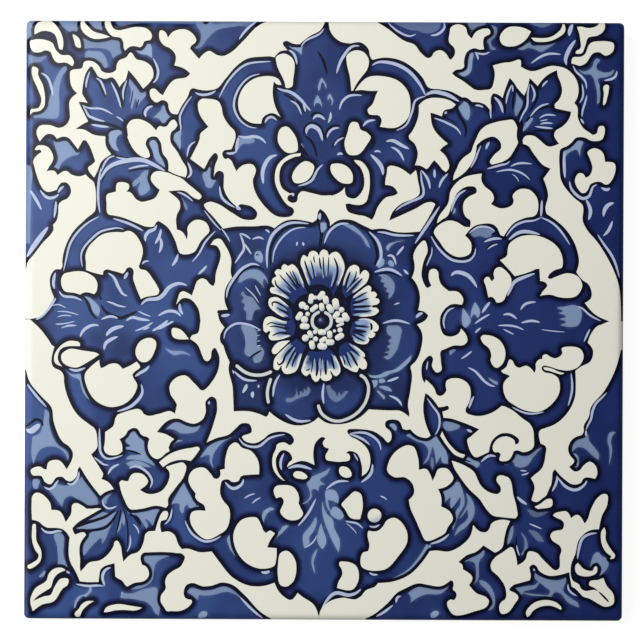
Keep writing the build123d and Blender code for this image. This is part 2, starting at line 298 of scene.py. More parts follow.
NORTH_EAST_GROUND = """
cream 328.6,14! 378,14! 378,22.3! 388.5,29.3 405,41.2 414.4,44.7 421,53 428.7,58.1 432,56.3 433.6,53
  440.2,50.2 446.8,54.6 449,58.5 450.9,59.9! 455.1,53 454.5,48.6 449,42 449.6,33.2 450.7,27.7 458.4,24
  466.1,28.2 467.2,33.2 471.8,38.7! 476.5,31.5 490,30.4 490.3,33.2 484.5,37 484,49.1! 480.1,49.7 474.6,48.2
  467.7,51.3 463.9,62.3 463.9,67.3 461.1,69.1 455.6,70 452.1,73.3! 455.6,76.6 462.2,80.5 468.8,85.4
  475.4,89.8 484.5,90 490.6,88.9 494.2,79.9 494.2,69.5 492.8,65.6! 503.2,62.9 510.9,62.1 520.3,59.9
  520.8,66.7! 529.6,70.9 553.8,65.9 566.5,69.1 576.4,79.9 576.9,98.6 574.2,103! 576.9,106.3 578,118.4
  584.6,129.4 589.6,132.7 592.9,134.9 596.2,133.8 599.5,126.3 602.8,125.9 602.2,139.3 590.1,140.4 585.7,138
  575.3,138.2 572,142.1 568.1,145.4 560.2,149.8 559.3,155.8 559.6,169 560.4,177.8 573.6,197.4 582.4,205.1
  583,222.1 589,232.6 594.5,238.6 605.5,254.6 619.3,288.1 620.9,306.8 621,333! 596,333! 596.2,328.8
  604.4,323.3 609.4,321.3! 594.5,314 584.8,303! 590.7,298.6 587.9,283.7 583,280.4 576.4,272.2! 578.9,262.8
  576.4,248 567,230.9 546.7,213.9! 545.6,210 548.1,195.2 543.4,178.7! 550.7,168.5! 545,166.3 534,154.2
  527.4,145.4 521.9,143.7! 524.7,136.6 534,136 539.5,139.9 548.3,146.5 559.1,143.7! 554.4,133.3 556,130.5
  561.5,127.2 569.8,117.3 571.2,111.8! 556,108.5! 554.4,106.9 554.9,104.1 558.2,100.8 562.1,90.9 560.4,82.1
  557.7,75.5 557.1,70! 546.1,76.1 537.6,86! 529.6,77.9! 526.3,90.9 524.1,95.5! 517.5,88.2 513.1,81.6
  509.6,77.9! 504.3,92 502.6,98! 496.6,94 493.1,93.3! 491.3,96.4 490.6,103 490.6,110.7! 484.5,104.3
  472.1,101.9! 464.4,97.3 462.2,97.5! 449,90.9 440.2,89.3 428.7,87.6 422.6,77.7 398.4,59.6 383,57.7
  372.6,59.9! 370.9,57.9 368.2,48.6 361,42.5 351.1,43.4! 340.1,41.4 330.8,32.1 328.6,21!
cream 346.5,56.3 353.3,50.8 363.2,51.9 368.7,59.6 366.5,70.6 362.7,75.5 355,86.5 353.3,90.4! 351.3,90.9!
  350,77.7 346.7,62.3
cream 355,90.7! 368.2,77.2 383,76.3 398.4,81 407.8,91.5 410.5,104.1 408.3,117.3 398.4,126.7 379.9,126.7!
  381.4,119 379.7,116.2 368.5,113.5 367.6,110.2 372.6,104.1 375.9,95.3 378,90.7! 369.8,90.9 361,90
cream 349.5,125 351.1,122.6 357.7,122.8 360.5,129.4 364.3,131.4 368.7,132.5 370.6,135.5 366,145.9
  357.7,154.7 348.4,154.2 344.5,144.8 347.8,131.6
cream 292.2,178.7 295.6,168.5 306.4,161.1 314.1,166.2 313.4,171.3 305.3,181.5 293.9,182.1
cream 330.4,167.9 331.3,164.6 335.7,163.5 346.7,166.3 352.8,175.6 351.7,182.5 343.4,183.4 333.5,175.9
  330.8,171
cream 320,195.6! 333.5,195.2 342.9,189.7 344.8,187.3! 346.7,196.3 354.4,198.5 362.1,191.3 359.9,166.8
  355.5,162.4 353.9,160! 359.9,160.8 368.2,170.1 369.8,181 368.2,195.7 366.5,201.2 362.1,204.5 354.4,204.7
  347.3,203.6 345.5,204.2! 347.3,210.6 357.7,215 364.3,216.1 372,219.9! 373.7,217.2 378,206.7 386.3,197.4
  395.7,194.8 397.9,193! 393.5,186.9 385.2,184.9! 385.4,180.3 386.9,172.6 387.4,167.5! 389.6,165.9
  395.1,166.3 410.3,175.1! 416,170! 417.7,179.2 418.2,195.7 413.8,198.5 400,204.5 391.8,213.3 389.3,220.6!
  416,208.4 428.1,202.3 432.5,202.3 435.3,204.3! 430.3,214.4 419.9,231.5! 395.1,231.8 383,228.7 372,229.6!
  363.2,225.4 351.1,219.9 337.4,220.7 330,226! 330,222.3! 323.3,211.1 320,208.9!
cream 418.8,105.2! 425.4,99.7 440.2,98.1 452.3,101.9 455.8,104.7! 452.3,108 444,110.7 441.9,116.4!
  433.6,113.5 430.5,112.7! 432.5,126.1 447.9,143.7! 443.5,146.5 439.7,150.3! 446.8,158 448.5,169 445.7,172!
  442.4,169.6 438.6,164.6 434.2,160.2! 431.4,163.5 428.7,167.4 426.5,169.2! 419.3,165.5 414.9,165.2!
  417.7,152.5 413.8,142.6 409.4,138.8 408.9,136 411.6,132.2 418.8,112.9
cream 484.5,126.7 495.5,122.3 507.6,120.1 512,119.7 517.5,128.3 518.8,139.3 513.7,150.9 509.8,156.9
  491.7,164.6! 490.2,163 494.4,154.7 501,148.1 501,143.7 494.4,136.9 484,139.3 476.6,145.4! 474.6,156.9
  466.6,170.4 453.2,180.3! 454,174.5 456.7,169 459.5,162.4 464.4,156.9 471,152 473.2,145.9 476.5,138.2
  480,131
cream 436.9,223.2! 438,218.8 448.5,202.3 450.7,190.8 460,179.8 481.8,173.6! 481.4,180.3 483.4,184.7
  492.8,194.1 493.9,199 490.9,204! 502.1,208.4 513.1,203.4 513.7,200.1! 512.6,196.3 518.6,189.7 529.1,189.7
  537.3,199 535.1,215.5 525.2,217.9 513.1,223.8 508.7,228.7 503.8,236.2! 501,235.3 497.7,228.7 494.4,225.2
  482.3,223.8 475.7,225.4 465,235.5! 471,243 469.9,253.5 458.9,257.1 446.8,251.3 439.7,241.9 433.9,232.6
  450.1,220.5 455.6,221.6 466.6,227.1 470,227.1! 469.9,219.9 466.6,217.7 465,200.1 469.4,196.3 476.7,191.9
  476,188 467.7,186.4 457.8,192.4 451.8,204.5 446.8,216.6 442.4,219.4 438.5,222.3
cream 499.9,37 506.5,28.2 520.8,27.1 531,31.5! 525.2,40.3 513.1,46.4 502.1,44.2 500.1,40.9
cream 531.3,37.6! 554.9,34.8 562.1,26.6 562.6,24! 564.8,24! 565.2,30.8 556,38.7 540.6,42 534,40.9
cream 576.9,27.1! 581.3,26.6 586.8,28 596.7,26 599.5,23.8! 599.5,14! 604.4,14! 602.2,32.6 597.8,35.4
  587.9,38.1 585.2,45.8 581.3,53.5 575.5,53 576.4,50.8 579.7,49.1 580.2,39.2 579.1,33.2
cream 587.9,46.9 590.1,43.6 601.1,41.2 608.8,41.6 613.2,43.1 613.2,50.8 605.5,55.7 598.9,52.2 594.5,52.7
  584.6,64 580.2,65.8 575.3,64.5 571.5,63.6! 572.5,57.9 581.3,56.6 584.6,54.6 586.6,50.8
cream 603.9,86 606.1,84.6 608.5,85.4 608.6,90.9 607.2,97.5 605,104.1 603.3,105.4 603.1,101.9 603.9,94.2
cream 587.4,152.5 593.4,148.3 601.7,151.4 605,161.9! 613.8,163 611,181.4 608.3,184.2 605,184.5 601.7,182.3
  590.1,184.7 587.9,189.7 584.6,193 581.9,193 578.6,189.7 574.9,179.8 579.1,173.2 582.4,173.5 585.5,177.6!
  588.5,176.5 592.3,169 589.6,158
cream 499.9,260! 507.1,255.1 507.6,250.7 508.7,245.2 517.5,237.7 534,235.3 559.9,250.7 562.8,262.8
  562.1,267.2 554.9,270 548.9,274.9 547.6,278! 550,278.9 554.9,277.1 569.2,273.3 578,276.6 582.2,285.4
  576.4,295.8 563.7,297.8 557.1,296.7 551.6,294.9 540.1,295.8! 542.8,291.4 547.2,284.8 545.6,282.6
  540.1,281! 539.5,269! 536.2,268.9 532.9,270.5 514.8,276.2! 503.2,263.4
cream 484,279.9 486.2,277.1 488.9,277.1 490.6,279.9 492,281.2! 494.4,278.2 493.5,274.4 496.6,267.8
  500.5,267.2 504.9,270 511.1,278.2 506,295.3 503.2,300.8 496.6,302.4 494.4,298.6 491.1,296.7 488.4,297.5!
  485.6,285.4
cream 414.9,250.7 424.8,240.6 427.6,249.6 423.2,262.8 422,278.2 428.1,287.9 431.4,285.4! 428.7,278.2
  430.9,269.4 434.7,268.9 438,271.6 438.6,277.1 440.2,282.6 449,291.2! 458.9,292.5 463.3,300.8 461.7,304.8!
  451.2,304.4 441.9,312.9 441,333! 423,333! 417.1,324.4! 425.9,319.5 428.3,315.6! 424.3,311.8 418.2,310.3!
  419.9,295.8 414.9,281.5 411.8,277.7! 414.4,270.5 414.4,262.8 413.3,256.2
"""
NORTH_EAST_SHADING = """
wash 0.25 390,14! 441,14! 438,30 432,33 424,33 418,31 410,30 402,27 396,24
wash 0.4 466,14! 482,14! 486,24 480,26.5 474,30 471,34 469,28
wash 0.7 456,72! 466,69.5 469,58 471,52 473,53 472.5,60 469,74 464,76.5 460,75.5
wash 0.4 491,25! 496,27 497,33 494,38 491,41 492,46 496,49 491,50 489,45 487,41.5 491,37 494,33
wash 0.65 464,101! 467,103 470,115 468,120 460,111 458.5,107 461,105
wash 0.6 452.5,206 455.5,209 455,213 451,214
wash 0.4 470,233 476,229 490,228 494,231 487,238 480,236 474,237
wash 0.75 463,308! 469,316 471,320 464,328 462,322 462,314
wash 0.75 475,302! 480,313 478,318 474,314 471,318 471.5,310
wash 0.55 557,308 565,306.5 574,305 580,308 577,326 570,327 560,325! 566,322 559,319! 566,316.5 558,313!
  563,311
wash 0.9 550,276.5! 553,273.5 558,271.5 562,271.5 561,274 556,276
wash 0.65 563,150.5! 569,149 573.5,144 579,140.5 583,142 581,148 580,157! 577,150 566,156 564.5,163
wash 0.55 578,69! 583,71.5 592,67 594,61.5 597,58.5 600,60 597,64 596.5,68 610,72 614,69.5! 612,74.5 607,77
  598,79 600,87 600.5,95 599,103 597,104! 596,87 590,74.5 584,74
wash 0.5 517,48.5! 530,40.5! 531,44.5 544,44 557,41.5! 547,49 541,52 535,49.5 529,48 522,50
wash 0.3 524,14! 557,14! 550,25 543,27.5 536,26 530,23
wash 0.5 516.5,92! 519,97 522.5,101 519,112 516,116 514.5,108 516,101
wash 0.65 522,132! 525,124 529,118.5 533,118 530,124 526,129
vein 3 456,104.5 460,117 464,123 466,130 465,137
vein 1.5 444,117 451,120.5 457,125
vein 3 366,131 372,136 374,143 370,150
vein 3 491.5,235 495,233.5 499,234.5
vein 1.5 486,249 491,244.5 498,243
vein 3 555,106.5 539,109 526,122
vein 2.5 556,130 548,131 540,130.5 533,131
vein 3 503,98 504.5,106 505,114
vein 2.5 514.5,90 513.5,99 512.5,110
vein 3 524.5,96 524.5,104 521,112 518,120
vein 2.5 537,87 537.5,95 529,112
vein 3 490.5,110 490,117 492,123
vein 6 521,120 520,130 520,140 522,145
glint 2 388,22.5 399,32 411,36 416,34
glint 2.5 444,22 444.5,27 437,34.5 430.5,35.5
glint 2 475,52.5 477.5,56 478,60
glint 2 474.6,52.4 486.7,53.5 490,51.8
glint 3.5 372,65.5 376,63 391,63 407,70 419,83 425.5,95.5
glint 2.2 396.2,130.5 405,126 412,112 416,100 421,97.5 426,96
glint 4 425.5,95.5 431,92.5 445,94 459,101.5
glint 2.5 447,111.5 444.5,114
glint 2.2 434,118 447,123 458,130 461,135
glint 2 475,105.5 479,105.5 483.5,107.5
glint 3.5 386,141.5 391,140.5 403,146 409,149
glint 2.5 391,147 397,150 404,161
glint 4 370.5,154.5 382.5,170 383,175
glint 2 374,152 378,151 381,152.5
glint 2.5 421,170 428.5,181 430,189
glint 2.5 434.5,169 434.5,174 434.8,178
glint 2.5 448,173.5 441,182 439,188
glint 2.5 420.5,171 421.5,180 423,195 410,202 401,206.5 395.5,211
glint 3 439.5,206.5 430,221 415,243.5
glint 2.5 466,190 460,193.5 451,212
glint 2.5 431,236 440,250 454,260.5 471,259 475,253 475.5,248
glint 1.5 432,247 431.5,254 429,260 426.5,266
glint 4 451,276 454,273 466,274.5 477,287.5
glint 2 469,233.5 479,227 492,229 495,231.5
glint 2.5 484,242 496,238.5 502,239
glint 1.5 487.5,249.5 492,246 498,244
glint 2 454.5,307.5 449,310 443.5,322 445,329
glint 3 490,302 486,307 482,313
glint 2 490,314 477,322 474.5,324
glint 2.5 503,315 508,314 517,319
glint 2.5 521,323 534,321 540,322.5
glint 2.5 520.5,310 524,305 536,302
glint 2 498,325.5 517,327 524,330
glint 2 577,306 583,309 589,314.5 601,321
glint 3.5 507.5,296 510,290 513.5,283 526,276.5 535,273.5
glint 3.5 508.5,240 519,232.5 540,234.5
glint 2.2 506,236.5 517,224.5 525,221.5 534,220.5 541,217.5
glint 2.2 541,217.5 550,221.5 570,245
glint 2.5 542,200 541.5,208 541,217
glint 2 496,172 512,170 526,176 530,180
glint 2.2 487,169 501,165 507,163.5 510,161
glint 2 510.5,166.5 516,164 532,164
glint 1 512,174 516,177 519,182
glint 3 564,152 564.5,172 565,178
glint 3 569.5,181 571,188 576,194.5 583,198.5 588,197 594,186 597,184.5
glint 3.5 586,199.5 590.5,212 588.5,220
glint 3 601,187.5 608,189.5 610,188
glint 4 614,203 609,204.5 605,209 603.5,216.5
glint 3 612.5,221 606,233.5 603,236
glint 2.5 597.5,234.5 602,241.5 613,258 619.5,278
glint 2.2 573,65.5 576,71.5 581,76 585.5,82 586.5,89
glint 1.8 582,84 582,99 579.5,103
glint 2 587,95 585,103 582.5,111 582,117
glint 2 580.5,118.5 584,124
glint 2.5 617,71 615.5,76 604,80.5
glint 4 575.5,40 567.5,53 565.5,60 566.5,65
glint 4 573,24 570.5,29 569,36
glint 2.5 531,63.5 548,54 561,54.5
glint 3 494,97 498,100.5 503,113
glint 1.8 491,104 490.5,112 491,119
glint 2 512,84.5 507,97 506,104
glint 1.5 512.5,85 513,92
glint 2 529.5,84 528,92 526.5,108 523,114 519.5,122
glint 2 531,84.5 534.5,96 532,102
glint 2 548,80.5 545,83 542,87
glint 2 549,103.5 541,106 530,117
glint 1.8 539,118.5 544,115.5 556,115.5
glint 1.2 540,121 548,119.5
glint 1.8 540,124 546,123 553,123.5
glint 2 535,126.5 548,128 553,128.5
glint 2.5 489.5,142 487,146 486,149.5
glint 2 481,145.5 478,152 475,160 470.5,168
"""
SOUTH_WEST_GROUND = """
cream 10,319.4! 30.1,319.4! 40.3,329.1 49.1,340.7 51.9,345.1 54.4,346.7! 53.5,367.1 61.8,372 63.6,375.3
  64,381.9 67.8,397.3 77.7,414.9 89.8,424.8 94.2,428.1 97.3,440.2 97.3,446.8 91.1,454.3! 101.4,470.5
  103,473.2 101.4,479! 108.5,482.3 113.8,489.1! 104.1,492.8 100.3,495.7! 89.8,482.3 79.9,466.6! 78.6,468
  76.6,476.3 70,481.4 66.2,480.1 62.9,477.1 55.7,477.9 53.5,481.2 50.8,484.2 45.3,482.3 40.9,475.7 37,475.5
  33,475.4 30.6,470.8 40.9,466.8 43.6,468.8 46.7,469.4! 48.6,462.2 57.9,460 66.7,469.4! 72.2,450.7
  68.9,446.3 63.4,442.4 55.7,428.1 53.5,420.4 51.9,408.3 41.4,396.2 30.4,383 25.5,369.5! 10,369.5!
cream 62.3,366.5! 54.6,362.1 54.1,357.7 72.2,340.7 79.9,343.4 79.9,346.2! 59.6,350.6 57.9,359.4 59.6,363.2
cream 61.2,355.5 67.8,349.5 83.2,350.6 90.9,351.7 96.4,352.8 99.2,354.6! 87.6,362.1 75.5,367.6 61.8,360.5
cream 99.2,359.9! 90.9,366.5 85.1,373.7 87.1,387.4 96.4,401.2 110.7,407 126.1,402.8 135.5,391.8 137.3,385.2
  133.3,377.5 132.2,374.8! 134.4,372 140.1,367.1 136.6,361.6! 128.3,366.5 122.6,368.9! 117.3,363.8
  108.5,364.5 104.1,367.1 100.8,368.2! 99.7,364.3
cream 135.5,351.1 140.4,341.2 152.5,338.5 155.3,340.7 154.2,352.2 147,361.6 142.1,362.1 136,355.5
cream 171.5,331.3 172.1,328.6 179.2,328.9 186.9,336.3 188.9,339.2! 172.1,335.2
cream 201,313! 200.1,323.6 197.4,333.5 191.9,335.5 190.2,339! 197.4,344.5 202.3,355.5 204.5,359.9
  207.3,361.2 210,359.4 212.2,350 214.4,347.8 218.3,353.3 218.8,367.6 211.1,383 206.2,388.5 202.9,390.5
  195.2,384.1 184.2,375.3 178.7,376.4 169.9,385.2 171,395.1 174.8,400.6 177,404.5! 175,413.8! 171.2,411.4
  159.1,413.8 147,415.5 143.7,413.8 141.5,410.5 138.2,408.9 131.6,410 117.9,414.4! 116.2,416.6 112.9,426.5
  108.5,429.8 105.2,432! 104.7,443.5 103.9,449 105.2,452.3 119,454 122.3,451.2! 121.7,443.5 119.5,439.1!
  126.1,434.2 127.8,430.9 136,428.1 138.8,430.3 140.4,433.6 143.2,435.8 147,436.9 149.4,438.9! 147.9,447.9
  153.6,457.8 157.5,459.1! 161.3,457.3 165.7,453.4 169.6,451! 168.5,447.4! 174,439.1! 165.7,434.2 156.9,432!
  172.3,418.9 177.4,418.5 188,422.6 193.5,423.7 203.4,418.2 205.6,412.7 206.2,400.6 211.7,396.5 215,397.9
  217.2,407.2 213.9,422.6 206.7,442.4! 216.6,438 228.7,434.5 236.4,427.6 240.8,423.7 249.6,424.3 251.3,432.5
  248,434.2 243,435.8 241.9,436.9! 243.6,439.7 254,443.2 263.9,438.6 268.3,434.7 292.5,436.4 294.2,440.2
  290.3,445.2 284.3,442.4 276.6,445.2 276,448.5 273.3,454.5 273.3,468.8 281.5,479.3 284.8,481.1! 277.1,469.9
  276.6,456.7 282.1,450.1 290.3,453.4 292,460 289.2,462.2 287,467.1! 302.4,460.9 314.5,465! 313.4,451.2
  315.1,443.5 323.3,437.1 325.7,438.4! 322.8,443 323.9,446.2 328.9,448.5! 327.8,451.3 325.5,455.6
  326.1,459.4 331,461! 334,461! 334,424.4! 326.6,422.8 318.4,417.3! 312.3,422.1 295.8,425.4 279.3,419.3
  269.2,411.6! 267.8,415.5 266.1,416.9! 251.8,411.8 233.7,411.4! 233.1,396.2 232.6,387.4 228.7,366.5
  229.6,362.1! 225.4,352.2 223.4,345.6! 221,342.9 221,332.4 224.5,327.5! 218.3,317 218,313!
cream 159.1,462.2! 169,454.5 191.3,447.9 199,447.4 199.9,449! 194.1,457.3 190.8,460.9! 181.4,459.8 169,463
  163,467.2!
cream 166,467.4 171.5,465 177,463.3 183.6,462.8 185.6,465 184.2,475.4 175.4,488 167.9,499.9 167.9,505.4
  165.9,507.8! 156.9,505.7 141.5,508.7 130,508.9 124.5,499.9 120.1,486.7 119.5,482.3 121.7,480.3 125,481
  128.3,481! 132.2,474.1 142.6,474.1 148.1,481.2 139.9,489.8! 148.1,493.9 161.3,491.1 168.5,470.2
cream 167.4,511.5 166.3,519.2 161.3,520.6! 160.4,523 161.5,532.4! 170.1,531.8 174,534.4 178.7,545 182,549.2!
  185.8,548.6 200.1,552.2 211.7,551.4! 219.9,562.6 232,576.9 249.6,585.7 267.2,585.2 274.4,582.6!
  280.4,593.4 291.4,599.8 297.5,592.9! 302.4,596.7 314,605 318.9,617.1! 318.9,632! 271,632! 271,618.9!
  259.5,611 245.2,595.6 230.9,584.1 223.2,582.4 210,585.9 203.4,586.3 191.3,583 186.9,584.6 185.3,597.8
  188.6,599.5! 191.5,600 191.9,602.2 189.1,606.1 179.2,611 171.5,611 166.8,611 164.1,607.2 160.8,601.7
  160.8,596.2 165.9,587.9 165.2,581.9 166.8,576.4 174.5,570 180.3,566.8 183.6,561.5 184.9,556.6 182.5,554
  175.9,552.9 143.7,552.5! 141.3,554.9 142.1,564.8! 145.9,566.5 148.7,575.8 145.9,579.7 132.7,583.5
  127.2,586.6! 125,584.6 122.3,580.8 118.4,578.6 115.3,576.4! 114.6,563.2! 100.3,570.3 99.2,575.8
  98.6,581.9! 85.4,581.9 79.9,581.3! 75,570.3 71.1,563.7 69.7,537.3! 63.4,529.6 53.5,527.7 48,527.7
  43.6,525.8 39.2,521.9 32.1,519.7! 31.7,503.2 32.6,495.5 34.8,493.3 50.2,503.2 51.3,510! 60.1,511.5
  62.9,515.3 65.6,522.1! 71.1,513.7 73.3,503.8 76.6,503 81,504.9 86.5,508.7! 92,508.7 98.6,508.2
  101.4,508.7! 89.8,515.3 76.6,523.6 72.4,528! 73.9,532.9 75.3,534.6! 85.4,533.5 86,535.1! 79.9,545
  79.4,551.6 80.1,560.4 79.9,567 80.5,571.6! 83.8,568.1 88.2,563.2 100.8,559.9 113.5,546.1 115.1,541.2
  117.3,540.6 119.5,543.4 122.3,556 123.4,561.7! 131.1,554.4 137.7,552.2 144.3,539.5 145.4,534 148.7,531.3!
  155.3,530.9! 158.6,519.7 161.3,513.7 164.1,511
cream 33.2,524.1 35.4,523.9 35.9,527.4 36.5,540.6 41.2,551.1 40.1,561.5 27.7,567.6 27.3,565.9 30.4,563.9
  38.3,557.7 38.7,554.9 35.9,551.1 32.1,529.6
cream 58.5,567.6 62.9,568.1 65.6,570.3! 57.4,574.2 54.1,578 50.2,587.9 45.8,590.7 35.9,597.8 33.2,601.1!
  44.7,596.2 50.2,595.1 54.6,586.8 61.2,578.6 68.4,579.1 67.8,584.6 63.4,587.9 53,601.7 42.5,604.4
  32.8,611.2! 30.4,600 34.8,589 46.9,579.7 48.6,574.2 52.4,569.8
cream 94.2,601.1! 85.4,601.7 81.6,604.4 78.8,608.8 74.6,613.8 75.5,616.5 78.3,617.1 82.7,609.9 90.9,602.8
cream 103.9,612.3! 105.2,608.8 116.2,604.2 130.5,605.7 142.1,607.7! 138.2,609.7 122.8,609.9 114,610.5
  108.5,611.9
cream 188.5,481 192.4,470.5 204,467.7 211.1,474.3 214.4,478.5 217.7,478.7 219.9,476.5 220.1,469.9!
  224.9,468.8! 226,455.6 230.9,444.6 235.3,442.4 238.1,443.5 240.8,446.8 251.3,451.2 257.8,460 259,474.3!
  247.4,474.9 243,475.4 240.4,477 239.2,480.1 232,481.8 228.7,479.6 222.1,480.7 220.5,485.6 221,496.6
  224.3,502.1 228.2,506.5 229.8,518.6 225.4,530.2 219.9,534 206.7,539.3 195.7,531.8 190,518.6 190.8,513.7
  205.6,510.7! 204.5,506 196.8,499.9 195.2,497.2! 195.7,493.3! 189.7,484.5
cream 250.2,517.2 256.2,517.5 261.7,526.3 263.9,531.3 266.3,532.9! 269.4,530.7 274.9,533.5! 268.9,542.8
  267.2,547.4! 276.6,548.1! 276,560.4 274.9,564.8 263.9,568.7 247.4,563.7 236.4,550.5 233.7,532.9
  241.9,519.7
cream 273.8,489.5 276,486.2 281.5,485.1 293.6,487.3 299.1,497.7 298.6,503.2! 300.2,507.1 303,514.2
  300.2,518.1 287,519.2 280.4,512.6 283.5,499.9 281.5,497.2 276.3,498.3! 274.4,494.4
cream 285.9,550.7 295.3,560.4 296.4,568.1 291.4,583.5 285.9,586.6 281.5,585.7 277.7,573.6 278,564.8
  281.5,552.2
cream 293.1,475.2 294.2,472.4 303,472.4 307.4,477.4 305.2,479 300.2,478.8 295.8,477.9
"""
SOUTH_WEST_SHADING = """
wash 0.55 45,409! 48.8,412 49,422 60,446.5 66,450.5 69,456 68,462.5! 66.5,456 56,447 42,448.5 33.5,464!
  32,459 32,441 32.5,437 38,434.5 44,418
wash 0.6 165,348! 171.5,350.4 184.7,351.7 191.3,356.1! 185.8,354.2 179.2,354.4 174.3,355.3 170.4,353.3
wash 0.75 65.5,370! 70,373.5 75,374.5 80,374 82,378 84,387 89.5,400! 84,394 81,386 79,379.5 73,377
wash 0.6 126,439! 132,430.5 135.5,430.5 139,437 143.5,441 144.5,447 147,454 152,461 155,466! 140,460.5
  132,459.5 126,459 130,455.5 136,455 141,454! 128,450! 125,448 131,446.5! 128,444 125.5,441.5
wash 0.6 126,463.5! 131,461 145,463 151,467.5! 137,466.5 131,467
wash 0.6 32.5,482 34,478 38,477.5 41,480! 39,484 37,489 35,489
wash 0.5 47,488! 52,489 57,484 62,485.5 68,485 74,484.5 79.5,470! 82,477 97.5,499 98,504 93,505.5 87,505
  82,501.5 77,499 71,496 67,497 62,507! 51,492.5
wash 0.5 103,498 104.5,494.5 113,492.5! 107,500 106,504.5! 104,503
wash 0.55 82,521! 89,516.5 97,512 102,511.5! 108.5,513.5! 103,517 89,520
wash 0.6 76,528.5! 91,522 99,520.5 107,517.5 113,513.5 117.5,511.5! 113,517.5 108,523.5 84,529
wash 0.5 82.5,547! 83,541 91,532.5 104,529 109,525 114,520! 109,530 106,538 102,544! 101,538 96,542 84,556!
  82.5,552
wash 0.6 117,533! 123,511! 125,520 124,526! 122,522 120,529
wash 0.55 124,506! 128,511 134,513 142,511.5 150,509.5 158,508 160,509! 157,516 154,524 152.5,525.5! 149,521
  145,519 148,526 146.5,529! 142,522 137,515.5 130,514
wash 0.5 54.5,534 60,532.5 63.5,535.5 64,543 63.5,553 67.5,567! 63,566.5 59,566.5 58,558 57,546
wash 0.6 39,577 42,573 45,570.5 45.5,573 42,577
wash 0.75 90,587 92,589 89,594 86,597! 84,596 78,601 75,613! 74,608 79,596 84,594.5 88,592
wash 0.9 120.5,598! 121.5,591.5! 124,593 122.5,597.5!
wash 0.5 123,593! 130,593.5 146,588.5 157,588 158,596 160,604 158.5,616! 155,613 151,606 146,602 138,600
  130,598.5 122,597.5
wash 0.5 143,556! 160,554.5 170,556! 157,562 151,582 146,586 131,589.5! 137,586 145,583.5 150.5,571
  149,565.5 145,563 143,560
wash 0.6 183.6,482.3! 189.7,494.4 199,506.5! 194.1,507.1 189.7,508.2 187.5,504.3! 184.2,507.6 183.6,512
  182,513.3! 180.3,510.9 179.8,504.3! 175.9,503.2 170.4,505.4! 179.2,490
wash 0.8 262,516! 263.5,511.5 273,508 274.5,509.5! 270,511 264,521 264,526! 262.5,521
wash 0.7 289,525.5! 282,527 281,529.5 276,534 270.5,543.5! 276,538 282,533
wash 0.7 229.5,535! 233,548 237.5,558! 232,552 228.5,545 227.3,538
wash 0.5 187,592! 190,588.5 203,590.5 211,590 225,586.5 237,593.5 243,600! 229,592 212,595 204,595.5
  199,595! 197.5,600! 191,594.5
wash 0.85 203.4,611 207.3,612.7 206.7,616 202.3,618.2 199,619 197.9,616.5 199.6,613.2
wash 0.6 200,458! 211,444.5 219,440.5 227,437.5 232,437! 219,446 212,461 213.5,468! 210,462 209,455 204,456
wash 0.55 166,429! 176,422 189,425 196,426 201,423! 198,430 186,433.5 180,433 175,430
wash 0.6 171,447! 173,442 178,440 183,440.5! 178,442 174,444
vein 3 25,427.5 32,422 36,419.5 41,421 43,426
vein 1.2 124,446.5 130,445
vein 2 126,450 133,451.5 141,454.5
vein 3 73,528.5 84,524 108,515 115,510
vein 3 84,531 95,530 104,528 118,511
vein 2.5 130,515 137,518 141,525
vein 3 166,432 172,434.5 178,438.5
vein 2.5 174,440 171,444.5 169.5,449
glint 2.5 69,368.8 75,370.5 85.5,367.6
glint 2.5 27,384 40,400 46.5,407
glint 3 80,337 83,331 94,325 99,325.5
glint 4 106,336 110,331 124,326
glint 3.5 104,350 106,343 111,339.5 118,336.5
glint 1.3 55,324 61,324 68,323
glint 1.3 61,328 68,326 75,326
glint 2 135,331 148,325.5 153,322
glint 1.5 143,330 150,327
glint 3 152,331 165,323 168,320
glint 2.5 158,329.5 165,325.5 172,322
glint 3 135,376.5 140,373 146,369.5 149.5,365.5
glint 3 141,384 142.5,391 134,404 117,411.5
glint 2.5 99.5,428 99.8,444 100.5,452 104,457 123,455
glint 2 94,457 99,461 104,464.5 109,465
glint 2.5 108,474.5 111,469 119.5,464
glint 2.5 129,468.5 134,466.5 152,483 150,488
glint 2.5 44,486.5 49,489 53,487.5 56,483.5 58.5,480
glint 2.5 67,483 71,484.5 78,477.5 79,471.5
glint 2 102.5,499 103.5,504.5 107,508 117,506
glint 1.5 133,524 137,528 139,534
glint 1.5 130,535 130,545 127,552
glint 2.5 41,527.5 45,531.5 52,532.5 58,531 62,531.5
glint 2 66,571 70,573.5
glint 2.5 76,584 90,586 97,585.5 104,586
glint 3 105,586 103,574 106,569.5 111,567.5
glint 2 172,508.5 169,520 164.5,524.5
glint 2.5 185,520.5 193,534.5 207,541.5 215,539.5 221,536
glint 3 225,482 233,488.5 242.5,483 243.5,479
glint 1.5 244,498.5 249,495.5 255,493.5
glint 1.5 252,503.5 256,500 261,497.5
glint 3 261,572 266,572.5 270,571
glint 2.5 240,597 256,613 263,618.5
glint 2.5 284,453 280.5,464 281.5,470
glint 2.5 239,438 243,443.5 258,446.5 270,438 285,434.5
glint 3 288,468.5 296,466 312,469.5
glint 2.5 209.5,401 208.5,404.5
glint 2 166,326 170,323 174,321
glint 6 26,429.5 31,431 35.5,428 40,424
vein 1.6 121,509 119,521 116,535
vein 1.6 123,509 127,522 128,535 127,549
vein 1.6 126,509 134,517 141,528
shade 0.6 86,338 92,331 101,327 104,334 103,350 96,346
shade 0.6 107,340 114,333 124,328 133,336 131,352 122,350 112,341
shade 0.6 106,356 112,347 121,341 130,347 130,357 117,360
"""
